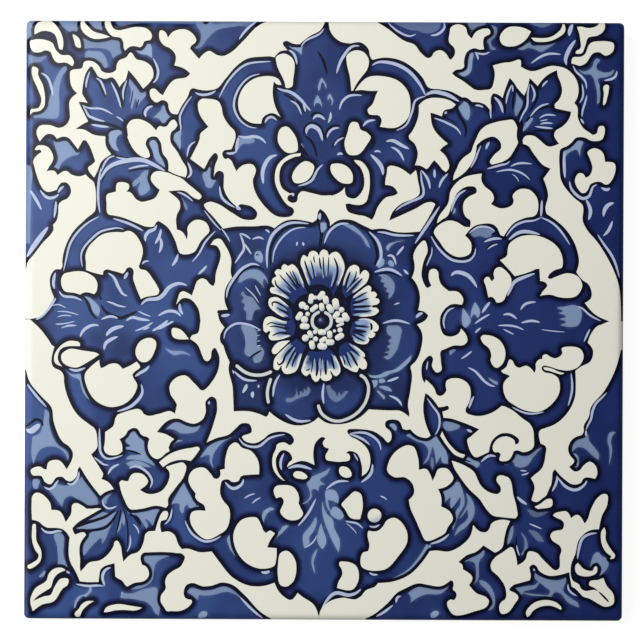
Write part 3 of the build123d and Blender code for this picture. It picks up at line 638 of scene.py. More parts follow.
SOUTH_EAST_GROUND = """
cream 640,321.4! 609.4,321.4! 604.4,324.2 598.9,325.3 590.7,334.6 587.7,342.6! 592.9,350 590.7,361
  580.2,367.1 575.3,370.9! 575.8,386.3 575.3,395.1 567.6,412.7 552.7,425.4 545,428.1 540.6,429.8
  540.6,443.5! 545.9,446.8 545.6,454.5 540.6,469.9 535.1,474.3 530.8,478.3! 534.6,486.7 532.4,496.6
  531.6,499.9 537.3,501.9 541.7,498.8 546.1,495.5 548.3,490.6 551.1,484.5 552.2,477.9 552.8,472 555,469.2!
  563.7,478.6 573.6,484.5 581.3,482.3 583,479 595.1,478.8! 597.1,474.4 594.5,464.4 590.1,461.7 583,466.1
  580.2,469.9 575.8,471.6 569.1,466.8! 574.2,461.1 569.8,455.1 568.1,450.1 572,439.7 576.9,436.4 581.9,434.7
  583.7,431.4 583.5,427 589,416 590.1,409.4 604.4,390.7 614.3,372 620.9,350! 640,350!
cream 480.7,337.9 482.3,335.5 487.8,335.2 500.5,341.2 505.4,353.3 502.1,364.3 498.3,367.6! 496.6,367.8
  490.6,360.5 491.3,355.5 490,350 481.8,341.2
cream 501,370.9! 506,367.1 510.4,359.4 512.6,361 514.8,365.4 518.1,367.6 526.3,365.7 534.6,372.9!
  535.7,369.8 536,363.2 538.4,359.9 542.3,358.8! 542.8,355.5 546.1,354.2 550,356.6 554.9,358.3 562.4,352.8
  561.5,348.9 570.3,346.5 581.3,350 583.5,355 578.6,366.5 567,370.6 560.4,369.8 547.2,366 543.9,365.4
  541.5,367.8 542.8,370.9 552.7,374.2 557.1,377 559.9,388.5 538.4,411.8 521.9,409.2 514.2,405 507.6,400.1
  504.3,381.9 510,376.1! 506.5,374.2 503.2,373.1
cream 543.4,368 551.6,368.5 558.2,371.5 564.3,373.1! 562.1,374.2 556,373.1 549.4,370.9 544.5,369.6
cream 417.7,325.3! 440,325.3! 444.6,335.2 450.1,336.6 459.5,332.4 461.1,328.6! 467.2,337.9 467.5,340.7
  464.4,344.5 453.4,345.6 445.2,348.9 441.3,350.6 440.8,361 440.8,370.9 437.5,372.6 432,366.5 432.7,357.7
  430.9,355.7 423.7,361 421.5,374.2 422.6,379.7 424.8,383! 425.9,379.7! 434.9,389.6 436.4,394 439.7,396
  446.3,390.7 445.7,385.2 446.3,381.4 456.2,378.1 468.3,384.1 470.5,397.3 468.3,403.9 465.5,410.5
  466.1,412.5 471,414.9 498.8,408.3 501,406.3 509.8,408.9 523,418.8 529.6,423.7 532.9,429.2 533.8,436.9
  532.9,447.9 523,452.1 517.5,450.3 514.2,451 512,455.6 508.7,460 499.4,460 500.8,454.5! 498.8,452.3
  494.4,452.1 492.8,449.6 496.6,439.7 506.5,436.4 514.8,441.3 515.3,444.4 518.1,443.5 519.2,440.8
  513.1,434.7 501,433.6 491.7,441.3 488.9,451.8! 481.2,455.6 476.8,457.3 467.7,443.5 467.2,439.7 471,436.4
  479.2,429.3! 463.3,422.6 449,418.2 443.5,417.7! 442.4,411.6! 449,407.8 447.9,405.9 443.5,406.7
  438.6,407.2! 429.2,395.7 425.4,392.9! 423.2,407.2 425.4,422.6 430.5,435.3! 428.1,437.5 422.6,437.5
  412.7,432 410.5,429.2! 406.1,429.8 402.6,428.7! 399,421 385.2,422.6 385.2,425.9 390.7,432 390.7,440.2
  388.5,442.4 383,437.5 373.7,431.4 361,429.2 348.9,429! 347.3,430.9 350.6,436.4 356.1,439.1 367.1,448.5
  370.4,461.1 366.5,472.7 361.9,476! 361.6,464.4 356.1,452.9 348.4,451.2 345.8,453.2! 348.9,454 349.8,459.5
  341.2,461.7 331,461! 331,424! 344.5,423.7 361,416.6 368.7,409.4! 390.7,410.5 399.5,410.7 409.2,416.9!
  409.2,412.7 408.1,407.2 410.5,389.6 411.8,373.1 410.5,367.6! 411.1,365.4! 414.9,362.1 421,348.9 421,330.2
cream 442.2,431.4! 449,443.5 460,453.4 465,455 463,458! 454.5,454.5 449,448.5 440.2,435.8!
cream 451.8,460.6! 466.6,466.6 474,472 477.2,478.5 480.1,484.5 492.2,493.3 497.7,493.9 500.8,491.1
  500.8,487.8 496.4,479.6 497.7,476.3 507.1,476.8 513.7,496.6 517,509.8 517.3,515.9 515.3,518.4! 501,517
  493.9,515.9 484.5,506.5 480.7,500.5 469,488.9 458.6,475 454.2,468
cream 408.3,445.2 412.7,446.3 417.7,456.7 418.8,469.9! 427,469.4 429.8,473.8 432.5,480.9! 435.3,475.4
  438,469.4 447.4,468.8 451.2,473.2 453.4,477.7 446.8,486.2 438,488.9! 441.3,497.7 441.1,506.5! 450.1,512
  452.9,518.1 447.4,528 445.2,532.9 439.1,536.8 425.9,540.6 420.4,530.7 416.6,521.9 410,506.5 408.9,499.9!
  414,493.3 412.2,483.4 405,477.4 394,477 387.6,471.6 389.6,460 400.6,447.9
cream 341.4,504.3 343.4,501.6 347.8,497.2 355.5,491.4 359.9,493.1 362.7,503.2 359.9,519.2! 351.1,518.1
  344.5,508.7
bead 6.9 374.5,515.5
cream 392.9,517.8 407.2,532.9 407.4,540.6 398.4,556 385.2,569.2 361,565.4 361.6,554.9 363.2,552.2!
  368.2,551.1! 369.3,547.2 367.8,532.9 368.5,530.7! 378.1,530.7 383,526.3 386.9,520.3
cream 339.6,562.1 344.5,561.5 356.1,565.9 358.8,578 353.3,589 337,587.9! 337.9,583.5 342.5,572.5 341.2,568.1
  339.2,564.8
cream 339,470.5 340.1,467.2 347.8,467.7 351.3,476 348.4,477.6 340.1,474.3
cream 319,632! 319,617.1! 320.3,611 329.1,601.7 342.3,597.8 356.6,598.9 361,596.2 365.4,590.7 375.3,586.3
  378.1,583! 394,581.3 409.4,574.7 422.6,561.5 429.8,551.1! 434.7,550.5 449,551.4 463.3,543.9 469.5,537.3
  473.2,525! 481.8,532.1 486.7,531.8 489.5,528.5 491.1,524.1 501,519.7 510.1,521! 506,530.7 504.5,537.3
  501.6,548.3 495,552.7! 483.4,545.3! 475,552.3 468.4,554.4 458.4,562.1! 462.2,564.8 462.8,569.2!
  472.4,578.5 469,584.9! 476.8,593.4 486.2,597.3 488.9,600.6 487.8,605 474.5,611.3 452.3,613.8 447.9,601.1
  450.7,599.5 454,600.3! 456.5,596.2 455.6,591.8 452.9,589.6 453.7,584.6 452.9,581.3 450.7,580.2! 441.3,586
  427,584.6 419.3,583.3 405,588.5 398.4,591.8 387.4,603.3 372,615.4 365.4,618.7! 365.4,632!
cream 490.6,565.4 495.5,557.1 502.1,552.7 512,547.2 515.9,556 517.3,565.4! 525.2,559.9 528.5,551.6
  537.3,553.3 541.7,558.2 547.2,563.7 556.6,570.1 559.3,568.1 559.9,562.6 559.9,556 561.5,550 560.4,546.7
  551.6,539.5 550.3,535.7 552.2,532.4 557.1,530.5 562.1,529.6 563.7,522.5 561,519.7 557.1,518.1 552.9,515.5!
  554.9,513.3 560.4,511.8 565.9,511.2 571.1,518.1! 576.9,514.8 584.6,523.6! 586.8,520.8 591.2,508.7
  598.9,496.6 603.3,493.9 606.6,494.4 607.5,503.2 601.7,516.4 598.9,529.1! 589,530.7 579.1,539.5 575.3,553.8
  571.1,564.8 573.1,580.8 579.1,584.6 581.3,589 584.6,590.7 595.1,590.1 598.9,591.8! 594.5,587.9 589,584.6
  589.6,581.9 598.9,579.7 603.3,577.8! 606.6,585.7 613.2,594 613.2,603.9 604.4,606.6 599.5,604.4 589,598.4
  583.5,596.7 578,591.2 574.2,587.9 572,586.8 570.9,582.4 569.2,572! 560.4,574.7 547.2,575.3 538.4,569.8
  536.2,565.9 532.9,564.5 530.2,565.9 530.7,576.4 529.8,580.2! 519.7,583 514.2,584.6 509.3,589.6 516.4,594
  518.3,596.7 514.2,604.4 506.5,613.2 501.6,613.8 499.4,605.5 501.6,601.7 504.9,599.5 505.4,587.9
  498.8,576.9 491.1,568.7
cream 534.6,506.7! 539.5,504.3 548.3,498.8 551.4,499 552.2,505.4 541.7,508.5 536.8,508.5
cream 604.4,527.4! 605.7,531.8 605.5,538.4 612.1,551.1 615.2,555.5 613.8,558.4 609.9,558.8! 611.5,556.2!
  606.6,552.7 600.9,538.4 601.7,530.7
cream 578,562.8! 575.8,564.8 576.4,573.1 586.8,576.4 596.9,572 597.3,568.1 596.2,565.9! 594,567.6
  593.4,569.8 583.5,568.7 580.2,565.4
cream 527.4,617.1! 526,613.8 531.8,604.4 546.1,600 558.8,604.4 561.5,608.3 561,609.9! 550.5,605.7 532.9,611
  529.6,615.4
"""
SOUTH_EAST_SHADING = """
wash 0.5 449,350! 452,349 456,350! 450,355.5!
wash 0.65 488,377.5! 493,380 498,383 497,385! 492,382
wash 0.5 572,452! 573,445 577,440 587,436 588,433! 589,440 594,447 599,454 598.5,460! 593,456 582,447.5
  577,447.5 574,450
wash 0.75 573,453! 577,455 576,467.5 573.5,466.5! 576,463 576,458
wash 0.55 616,432! 610,432.5 607.5,441 609,447 609,465! 612,448 611,441 613,435
wash 0.5 504,465! 509,463.5 513,459.5 516,454.5 522,456 529,455.5 535,451 542,447! 532,459 528,465 521,467.5
  515,466! 513,462
wash 0.6 463,455! 474,460 480,463.5 477,468! 472,464.5 468,463 463,459!
wash 0.5 443,423! 447,420 457,422 460,426 450,431 445,430
wash 0.7 389.5,424.5 393,423.5 396.5,427 396,431! 392,428.5
wash 0.6 406,435.5! 411,433.5 416,437.5 430,440 437,436.5 441,441! 447.5,456 448,463.5! 443,463 441,456!
  436,464! 435,455 432.5,446! 430,455 428,460 423,464.5! 428,449.5 424,444 416,441 410,437.5
wash 0.4 432,457 433.5,461 432.5,470! 430.5,463
wash 0.7 325,496! 326,490.5 335,490.5 338.5,497 338,503.5! 333,501 327,499.5
wash 0.7 331,510! 333,507 342,511.5 343.5,517 340.5,519.5 334,517.5 330,512.5
wash 0.7 325.5,497! 328,501 329,507 331.5,512! 328,509 326,503
wash 0.7 322,501! 327,514 333,520 334,527 340,541 338.5,552.5! 330,536 322.5,513
wash 0.75 321.1,523! 318.9,545 322.2,548.9 325.5,545 326.1,538.4 323.3,530.7
wash 0.65 316.2,516.4! 309,527.4 303.5,534 304.4,548.3! 310.1,542.8! 309,539.5 314.5,529.6 316.7,523
wash 0.6 301.5,503.8! 306.8,501 310.1,495.5 309,488.9 306.8,483.4 310.1,477.9 316.7,474.6 324.4,471.3
  329.9,468! 327.7,473.5 320,480.1 325.5,484.5! 320,485.6 318.4,491.1! 314.5,488.9 311.8,490 311.8,496.6
  303.5,503.8
wash 0.65 317.5,548.5! 315.5,556 313.5,562 314.5,568.5 315,574! 311.5,561 313.5,553.5
wash 0.65 392,578.5! 407,570 420,555 427,543! 431,545.5 427,552 414,569 406,574.5 398,578.5
wash 0.55 408,593! 418,587 433,588.5 447,587 450,584.5! 441,593.5 425,594.5 410.5,602.5! 411,598
wash 0.85 438,611 433,611.5 430.5,615 432,618 436,617 439,613
wash 0.6 441,490! 452,485.5 457.5,478! 463.5,494 464.5,503 459,514 457,519! 453,530! 452.5,525 455.5,518
  456,511 460,505 460,497 456,503 451,509! 450,503 451,497! 447,500 443.5,504! 445,498 443,493
wash 0.55 466,493! 471,498 474.5,513 466,527 459,532 454.5,536! 457,529 468,517 467,509! 463,515 459,519!
  464,511 467.5,503
wash 0.25 527,509! 541,511.5 548,511.5 541,516 534,517 529,513
wash 0.55 507,540! 509,533 511,527.5 513.5,525.5! 511,540 507.5,545!
wash 0.45 520.5,532! 524.5,536 527,550 524,554.5! 520.5,555! 524,549 524.5,541
wash 0.3 528,530! 535,531 541,536 544,542! 538,541 532,535
wash 0.55 590,567! 592,559 594,554 598,552 602,556 607,559 608.5,563 599,576.5! 601,567 597.5,564.5
  594,565.5
wash 0.5 512.5,588.5! 527,586 534,585 538.5,582! 534.5,577 534.5,573! 547,579 562,579.5 566,577.5! 565.5,583
  563,589 572,599 578,603 579,607.5! 567,601.5 561,594 556,592 552.5,594! 552,596 545,596 529,595 523,593!
  521,595.5! 516,591.5
wash 0 523,592 529,590 535,588.5 539.5,582.5! 545,587 550,591.5 549,594 540,594.5 530,593.5
wash 0.5 463.5,562! 469,559 480,553 484,549! 484,555 480,560 477,581 473,585! 475.5,579 476,570 474.5,563
  470,561
wash 0.5 479,580! 484,581 493,591 492,609 488,610.5! 491.5,599 489,593 484.5,588 480.5,584.5
vein 1.5 457,456.5 464,459.5 471,462
vein 2 598.9,591.8 607,600 608.8,602
vein 1.5 516.5,536 516.5,546 518.5,555
glint 2 461,359 467,355 472,351
glint 2.5 468,367.5 474,370.5 486,382.5 491,385.5 495,386.5
glint 2.5 474,396 471,402 469,408.5
glint 2 475,333 478,330 481,327.5
glint 1.5 503,329 508,331.5 514,334.5
glint 1 541,329.5 552,331 565,332
glint 2 590,329 587,335 584,342
glint 2.2 571,373 572,390 568,406
glint 2 512,407 528,413.5 544,412
glint 2.5 607,392.5 602,397.5 596,403.5 592.5,411 591,419 587.5,426 586,430
glint 2 586,430 586,437
glint 2.5 481,462 491,455.5 496,456.5
glint 1.5 520,470.5 527,471
glint 1.5 521,475 526,474 529,472.5
glint 2.5 466.5,429.5 470,431 472,432
glint 2.2 427,398 431,404 439,416 438,430 435,435
glint 1.5 428,361 427,366 426.5,370
glint 2.5 350,433.5 367,433.5 379.5,443.5 381,450.5
glint 2.5 349,434 364,440 370,445
glint 1.5 353.5,453.5 356,457 358,461
glint 3 372.5,464 371.5,472 361,482.5
glint 2.5 326,489.5 338,481.5 349,481.5
glint 1.5 304.5,548 313.5,541.5 317,535
glint 2.5 316,498.5 307,515 298,526
glint 2 345,521 350,522 357,523.5 363,528.5
glint 1 346,523 352,528 357,534
glint 1.5 380,496 384,497.5 387,500
glint 2 369,526 374,527 380,524.5
glint 2 369,572.5 373,574.5 378,574.5
glint 2.5 430,544 444,538.5 449,534
glint 3.5 322,608 336,593 350,595 356,593 361,589
glint 2.5 401,596 398,597 396,603
glint 2.5 393,605 380,614.5 376,616.5
glint 3 517,496.5 521,500.5 527,504.5
glint 1.5 529,523.5 535,526 542,529
glint 1.5 516.5,545 517.5,550 519.5,556
glint 2.5 552,491.5 557,479 557,475.5
glint 3 557.5,477 568,488 575,490 585,484 587,480.5
glint 2.8 577.5,559 578.5,551 584,537 590,534 597,533
glint 2 568,584 568.5,589 577,596
glint 2 533.5,568.5 534.5,571
"""
ROSETTE = """
glint 1.5 221,228 228,238 230,242
glint 2.5 239.7,233.7 243,242 244,248.5 239.7,256 234.8,263.4
glint 2 239.7,233.3 245.2,235.3 250.7,239.2
glint 2 244,243 248,249 251.5,254.5
glint 2 252,239.5 260,237.5 264,239.5
glint 2 265,229.8 268,231 269.5,233
wash 0.8 254.5,255 256,251.5 259.5,251 263,259 261.5,263! 254.5,258
vein 1.2 256,256 257.5,254 258.5,256
vein 3 270.5,265 272,245 284,229.5 303,225.5 312,227
glint 3 267.2,268.3 268.3,245.2 271.6,236.4 285.9,224.3 309,223.8
glint 1.8 272.7,262.8 274.4,250.7 296.9,228.2 305.7,227.6
glint 2 297.5,241.5 296.5,246
glint 2.5 303,242 303.5,246
vein 3.5 318,222 321,230 319,248
glint 3 320.5,213 319.5,217 320,220
wash 0.8 320.5,223! 325,222.5 328,226 325,230 321.5,233! 320.5,228
glint 2.5 324.2,243.6 331.3,229.3 339,224.3 349,223.5
wash 0.6 341,224! 350,224.5 364,236 368.5,243 370,248! 367,246 363,239 348,227.5
vein 3 366,230 376,247 377,257 374,266
glint 3 368.7,231.5 378.6,243 380.3,259.5 376,266
wash 0.85 380,258! 384,259 384,264 379,268! 377,266
vein 2 376,275 392,273 400,277
glint 3 374.2,272.2 389.6,269.4 402.3,276
wash 0.5 378,275! 385,274.5 394.5,284 391,297 388,299! 389,293! 386,291 387.5,288! 383.5,286 385,283!
  380.5,281 382,278.5
glint 1.5 394,305 397,303.5 400,303
glint 2.5 377,232 384,232.5 392,234.5 414,235.3
wash 0.75 405,240.3! 391,246 388,251! 386,248 388,244.5 395,242
glint 2.5 404,246 400,251 396.5,255.5
glint 2.5 387,256 391,255.5 396,265
wash 0.75 388,262 390,260 393,262 394,266 390,266
glint 2.5 403.5,269.5 406,272 408.5,274.5
glint 3 416,318 419,314.5 423,313
vein 2.5 229,297 231,288 236,279 250,267 258,267 264,270
glint 3 226.5,298 227.6,290.3 232,281.5 245.2,266.7 252.9,263.9 259.5,265.6
wash 0.55 238.5,283! 239.5,277 251,269.5 258,270 267,279 268,284! 264,279 263,284 264.5,288! 260,283 255,279
  248,278.5 242,281.5
wash 0.45 243,291! 247,296 252,297 257,304 260.5,309! 256,310 252,320! 247,320 246,312 243.5,309 245,305
  241.5,301 244,298 241,294
glint 1.2 245,287 255,297 259,303
glint 1.2 255,285 258,291 261,296
glint 3 221,316 225,315.5 230,314.5
wash 0.5 241,326 253,327 256.5,331 257,340 256.5,345! 262,347.5! 264,351 263,357 260,362 255,363! 253,359
  258,354.5! 250,357 245,354 245.5,345 244.5,336
vein 2 249,358 256,353.5 262,350
glint 1 257,331 261,329.5
glint 1 257,336 260,335
glint 1 257,341.5 260.5,340.5
glint 1 256.5,346.5 261,345
glint 2.2 224,339 225,333 235,324 248,324.5 261,330.5
white 3.2 237,366 248,373.5 264,374.5 270.5,372
glint 2.5 234,371 245,379.5 257,380.5
glint 1.5 232.5,370 234,374
glint 3.5 247,384 245.5,388 242.5,393
glint 2.5 258.5,384.5 258.5,388
glint 3.5 252.8,398 252.5,393.5 253.2,391.5
wash 0.4 286,402! 291,402 296,399.5 302,397 308,395 310.5,390.5! 308,386.5 306.5,391 304,388.5 303.5,393.5
  301,391 299,395.5 296,386! 295.5,395 292,398 286,398.5
glint 2.5 280,374.5 276,381 273,397
white 3 270.5,379.5 267.3,393 268.3,402
glint 2.8 285,414 297,420.8 311,420.3
glint 2.5 324,383 323,399 324,404
white 3 318.5,406 321,412.5 335,421 353,416 366,401 367.5,383 363.5,377 361,375.5
wash 0.35 326,386! 329,385 332,389.5 335,391.5 337,396.5 339,391.5! 341.5,395 345,391 348.5,391.5! 342,399
  337,402 328.5,396 327,391
wash 0.5 387.5,326 393,325.5 399,326 401.5,329 400.5,337 395,353 387,359.5 383.5,357! 389,354 384,352.5!
  390,349.5 386.5,346.5! 390.5,343.5 388,341! 391.5,337 388,334.5
glint 2.5 382.5,323.5 396,320.5 410,324
wash 0.85 365,373.5! 372,375.5 380,374.5 386,371.5 393,370 406,360 411.5,355! 410.5,360 405,366 398,371.5
  391,373.5 384,377 369,376.5
wash 0.85 371,380.5! 377.5,380! 377,385 374,388!
wash 0.8 379,379.5 384,379 385.5,382! 379,382.5
glint 2.5 387,381.5 393,379.5 399,377
wash 0.85 379,386.5 385,386 390,388 392,391.5! 385,390
wash 0.85 376.5,391! 380,395 384,399.5! 385,398 381,393 377.5,390.5
glint 2.5 389,395.5 399,401 402,406
ray 309,286! 303,270 300.5,263 304,255 307.5,257 309.5,252.5 313,250.8 317,252.5 319,256 320,252.5
  323.5,249.5 327.5,251.5 329,255.5 331,253.5 335,251.8 344.5,265.5 340,281.5 333,296.5! 331.5,291 325,285.5
  316,284.5
ray 342,292! 345,276.5 350.5,266.3 354.5,264.8 358.5,266.8 360,275 362,271.8 365,270 368.3,272.3 366.5,282.5
  361,287.3 345.5,298! 344,295
ray 352,298! 360,291 370,286 371.5,289 370.5,291.5 374.5,291.8 377,295 375,298 378.5,298.8 379.5,302
  376,304.8 372.5,305.3 372,307.2 376.5,307.8 379,310.5 376,314.3 369,316.2 352,315.8! 350.5,307
ray 353,323! 357,320 376,322.8 378.8,327.3 377.2,331 373,332 375.2,333.4 374,336.8 370.5,338 367.8,336.9
  369.3,339.5 368,342.6 357,343 349.8,333.2! 351,328
ray 347,342! 361,350.3 364.8,354.3 364.6,357 360.8,355.5! 367,364.3 366,368.3 362.5,369.5 359.3,367.3
  357,372 353.5,371.6 348,369 344,366.5 341.8,361.5 339,354! 339.5,347
ray 309,351! 302.6,366 301.4,371 306.6,376 309.8,373.3 312.6,379.3 316,381.9 320.4,377.3! 322.3,380
  330.5,379.3 332,376.3 330.4,372.5 330.4,370! 336.3,376 339.2,373.7 336,357.5 329.6,349! 320,351.5
ray 297,338.5! 283,349.5 274,360.5 275,369.6 277.6,370.2 281.5,365.5 282,370 284.5,373.3 294,372.3 302,355
  306,346.2! 302,343
cream 272,352 276,344 290,340.5! 280,350.3 276,353.8 273.5,354
ray 293,318.5! 286,321.3 278,319 270.5,316.3 266.3,317.4 263.2,327 264.3,331.5 266.5,332.7 269,330.5
  270.5,332.3 268.6,335.5 269.5,338.8 280,339.6 288,337 294,335! 295.5,327
ray 291.5,319! 277.5,314 268.4,303 269.3,299 277,297.2 282.5,300.8 291,309! 292.5,314
ray 307.5,293.5! 300,275 296.5,267.5 292,264.2 288.3,266 284.5,264.1 281.6,267 281.5,269.8 278,269.1
  274.6,272.8 276.5,276 273,278.5 271.8,282 275,287.3 271.5,287.3 269.9,290 271.5,293 275,293.8 288,299.5
  294,304! 299,297
glint 1.8 307.5,261 310.5,270 313,279
glint 1.8 312,262 314.5,270 316,277
glint 1.8 317.5,256 319,265 320,273
glint 1.8 321.3,257 322.5,266 323.3,279
glint 1.8 325.8,256 326.5,266 326.3,277
glint 2.6 331.5,257 334.3,265 331,287
glint 3 353,270 351,278 347,288
glint 1.8 361,276 352,286 346,292.5
glint 1.5 364,284 358,288.5 352,292
glint 3.2 369,288 361,293.5 353,298
glint 2.6 368,295 361,298.3 355,300.5
glint 2.4 372,302.5 362,304 353,305
glint 1.8 372,309 362,309 354,309.2
glint 2.8 372,314 362,314.3 353,314.8
glint 4.2 368,322 361,323 355,322.5
glint 2.2 369,329 362,328.3 355,327.8
glint 2 366.5,339.5 360,336.8 355,334
glint 2 364,342.5 358,340.3 352,335.5
glint 2.6 362,354 355,348 349,343.5
glint 3.2 362,364 356.5,357 350.5,351
glint 2.6 355.5,368 351.5,360 347,352
glint 2.2 348.5,366.5 346,360 343.5,355
glint 2.2 314,378 314.5,368 314.5,358
glint 2.2 319.5,376 319.5,367 320,358
glint 2.2 323,377 322.5,367 322.5,359
glint 2.4 329,376 328,368 327.5,360
glint 3 336,371 335,363 331.5,354
glint 2.6 277,364 280,357 287,350.5 293,345
glint 2.8 284.5,370 286.5,362 291,354 295,347
glint 2.2 290,371 292,362.5 296,352
glint 3.2 296,368 298,361 301,353
glint 2.6 268,322 272,320 279,321.5 287,323.5
glint 1.8 269,328.5 276,324.8 285,327
glint 3 270,330 277,329.3 286,331
glint 2.8 271.5,337.5 278,336.5 288,335.5
glint 2.4 272,300 277,299.5 284,304
glint 2.2 274.5,304.5 280,306.5 287,311
glint 3.2 274,308.5 281,313 288,316.5
glint 3.2 273.5,290.5 281,293.5 289,298.5
glint 2.4 277.5,279 283,286 291,293
glint 2.4 278,272.5 292,286.5 296,290
glint 2.4 285,268 289,275 296,284
glint 1.8 291,268 294.5,274.5 299.5,284
glint 2.6 296,269 300,278 304,288
vein 2 304.5,260.5 307.5,270 311.5,281
vein 1.5 310.5,260 313,269 315,278
vein 1.4 313.8,256 314,259.5 315,263
vein 1.8 319.4,257.5 320,263 321.3,270
vein 1.5 323.2,256.5 323.5,265 324,276
vein 1.4 328.8,257 328.4,266 328,275
vein 2.4 334,258 337,265 331.5,290
vein 2.2 350.3,271.5 347.5,279 344.8,289
vein 1.6 356.5,271 355.3,277 351.5,284
vein 1.4 359,277 351.5,284.3 345.5,291
vein 2.2 362.5,278.3 355.5,285.5 347.5,293
vein 1.6 367.5,292 361,295.3 353,300
vein 2 368.5,298.3 361,300.8 352,303.3
vein 2.2 372,306 362,306.5 353,306.8
vein 2 371.5,310.6 363,311.8 353,312
vein 2.4 370.2,322.8 371.6,326 370.9,330.5
vein 1.8 369.5,327 362,326.6 354,325.5
vein 2.4 366.5,331.8 360,331.2 353,330.5
vein 1.4 365,336.6 358.5,334 352.5,331.5
vein 1.5 365,341 359,338.7 353,334.7
vein 1.8 360.5,356.5 354.5,351.5 348.5,345.5
vein 2.6 357.8,366.3 354.5,360 350,352
vein 1.6 351.5,368 348.5,362 345.5,354
vein 1.5 345,365 344,360.5 342.5,355.5
vein 1.4 305.5,370 308,370 310,368
vein 1.2 311,373 312.4,366 313,358
vein 2.7 317.2,361 317.3,369 316.3,376.3
vein 2.7 325.5,361 325.5,368 326,375
vein 1.2 320.6,376.5 321,368
vein 2.4 331.3,355 332.8,363 334.4,369.3
vein 2.3 277.5,362 278.8,364.8 282,363 285.5,355.5 293.5,345.5
vein 2 286,368.5 290,359.5 295,349.5
vein 2 292,367 294,360 297.5,352
vein 1.5 266.3,325.3 270.5,322.8 277,324 286,326.3
vein 1.6 269.5,326.5 275.5,326.3 283,328 290,328.2
vein 1.8 272.3,336 277,333.5 291,334.3
vein 2 273.2,306.5 272,303.2 275,302 280,304 286,308
vein 1.6 276.5,307.5 281.5,310.3 289,314
vein 2 275.2,280 276,284.5 281,289.5 290,296.5
vein 1.6 279.3,274.5 286,282 295,290.5
vein 2 285.8,272.3 291,279 298,288.5
vein 1.6 292.2,270.5 295.5,277.5 299.5,286
vein 1.3 289.5,271 293,277.5 298.5,285.5
bead 2.6 310.7,301.3 311.4,296.2
bead 2 315.2,297.6
bead 2.9 319.8,297.3 322.4,293.8
bead 2.9 325.4,298.4 326.2,301.6
bead 3.6 302.4,305.2
bead 2.6 306.2,307.6
bead 2.4 312.2,309.8 315.8,306.6
bead 2.6 321.4,305.4 322,308.6
bead 2.7 298.2,317.6 300.3,314.3
bead 2.3 307.6,314
bead 3.6 304.5,319.6
bead 3 302.8,326.2 306.6,326.4
bead 3.3 335.3,301.6 336.2,306.4
bead 2.9 329,306.8 331.3,310.3
bead 2.8 341.5,309.8
bead 2.7 335.2,316.3 337.4,313.7
bead 3 344.8,315.4 346.8,318.6
bead 2.9 338.6,320.3 341.4,320.5
bead 1.3 337.6,325.8 342.6,323.8
bead 2.6 340,330
bead 2.9 337.8,337.6 341.2,335.6
bead 2.6 329.6,333.1 329.8,335.9
bead 3.1 328.7,342.2 331.3,342.2
bead 1.6 334.5,331
bead 2.9 320.6,332 323.4,332.2
bead 2.2 315,332
bead 2.4 309.6,332.8 310.8,335.6
bead 3.5 305.4,338
bead 2.6 315.5,339
bead 2.4 321.6,340.8 324.6,338.8
bead 2.8 311.6,343.2 312.4,346.6
bead 3.3 320.6,346 323.8,346.5
white 3 318.5,312.2 313.5,316 313.5,326.5 317,329.5
white 3 325.5,312.6 330,316 329.8,326.5 326.2,329.5
wash 0.5 319,319 321,318.4 321.6,320.4 320,321.6
shade 0.6 321.7,243 377,266 400,321 377,376 321.7,399 267,376 243,321 267,266
shade 0.5 234,232 262,230 266,250 240,258
shade 0.5 234,382 264,376 268,410 236,408
shade 0.5 372,376 406,372 408,408 378,406
shade 0.4 384,236 412,234 412,262 386,260
"""

# Distances of the rings of points inside the print's outline, close together where the edge rolls over
EDGE_RINGS = (0.06, 0.16, 0.3, 0.5, 0.75, 1.05, 1.4, 1.8, 2.2)

GROUNDS = (NORTH_WEST_GROUND, NORTH_EAST_GROUND, SOUTH_WEST_GROUND, SOUTH_EAST_GROUND)
SHADINGS = (NORTH_WEST_SHADING, NORTH_EAST_SHADING, SOUTH_WEST_SHADING, SOUTH_EAST_SHADING)

# Kinds of mark that stay the colour of the ground
BARE_KINDS = ("cream", "white", "ray", "bead")
ROSETTE_CENTRE = (321.7, 321.0)

# Share of blue in the white strokes, in the shaded side of a bead and in the streaks of a petal
WHITE_TINT = 0.2
BEAD_TINT = 0.35
STREAK_TINT = 0.5

# How strongly the pale washes stand out from the blue
WASH_STRENGTH = 1.4

# Share of a wash that keeps its crisp border
CRISP_WASH = 0.75

# Rounds of smoothing at the border of a dark shade
SHADE_ROUNDS = 8

# Shares of the ink's width between which the line fades into the blue
INK_SHARES = (0.82, 1.15)

# Pieces of each rounded corner and each straight side of an edge ring
CORNER_PIECES = 6
SIDE_PIECES = 120

# Points closer than this join, in millimetres, and filling points keep this share of their spacing clear
JOIN_DISTANCE = 1e-4
CLEAR_SHARE = 0.45

# Reflection of the glaze and the body, and roughness of the bare biscuit
SPECULAR = 0.35
BISCUIT_ROUGHNESS = 0.85

# Half the change of the glaze's roughness, and half the height over which the glaze thins out on the sides
GLOSS_CHANGE = 0.04
GLAZE_THINNING = 0.0004


def to_tile(points):
    """Photograph pixels to millimetres from the tile's centre, x to the right and y up."""
    offset = (np.asarray(points, float) - PHOTO_CENTRE) * (MM_PER_PIXEL, -MM_PER_PIXEL)
    c, s = math.cos(PHOTO_ROLL), math.sin(PHOTO_ROLL)
    return offset @ np.array([[c, s], [-s, c]])


def read_marks(text):
    """Marks of one text as (kind, number or None, points in millimetres, corner flags)."""
    joined = text.strip().replace("\n  ", " ")
    for line in joined.split("\n"):
        words = line.split()
        kind = words.pop(0)
        number = None
        if "," not in words[0]:
            number = float(words.pop(0))
        points = [tuple(map(float, word.rstrip("!").split(","))) for word in words]
        corners = [word.endswith("!") for word in words]
        yield kind, number, to_tile(points), corners


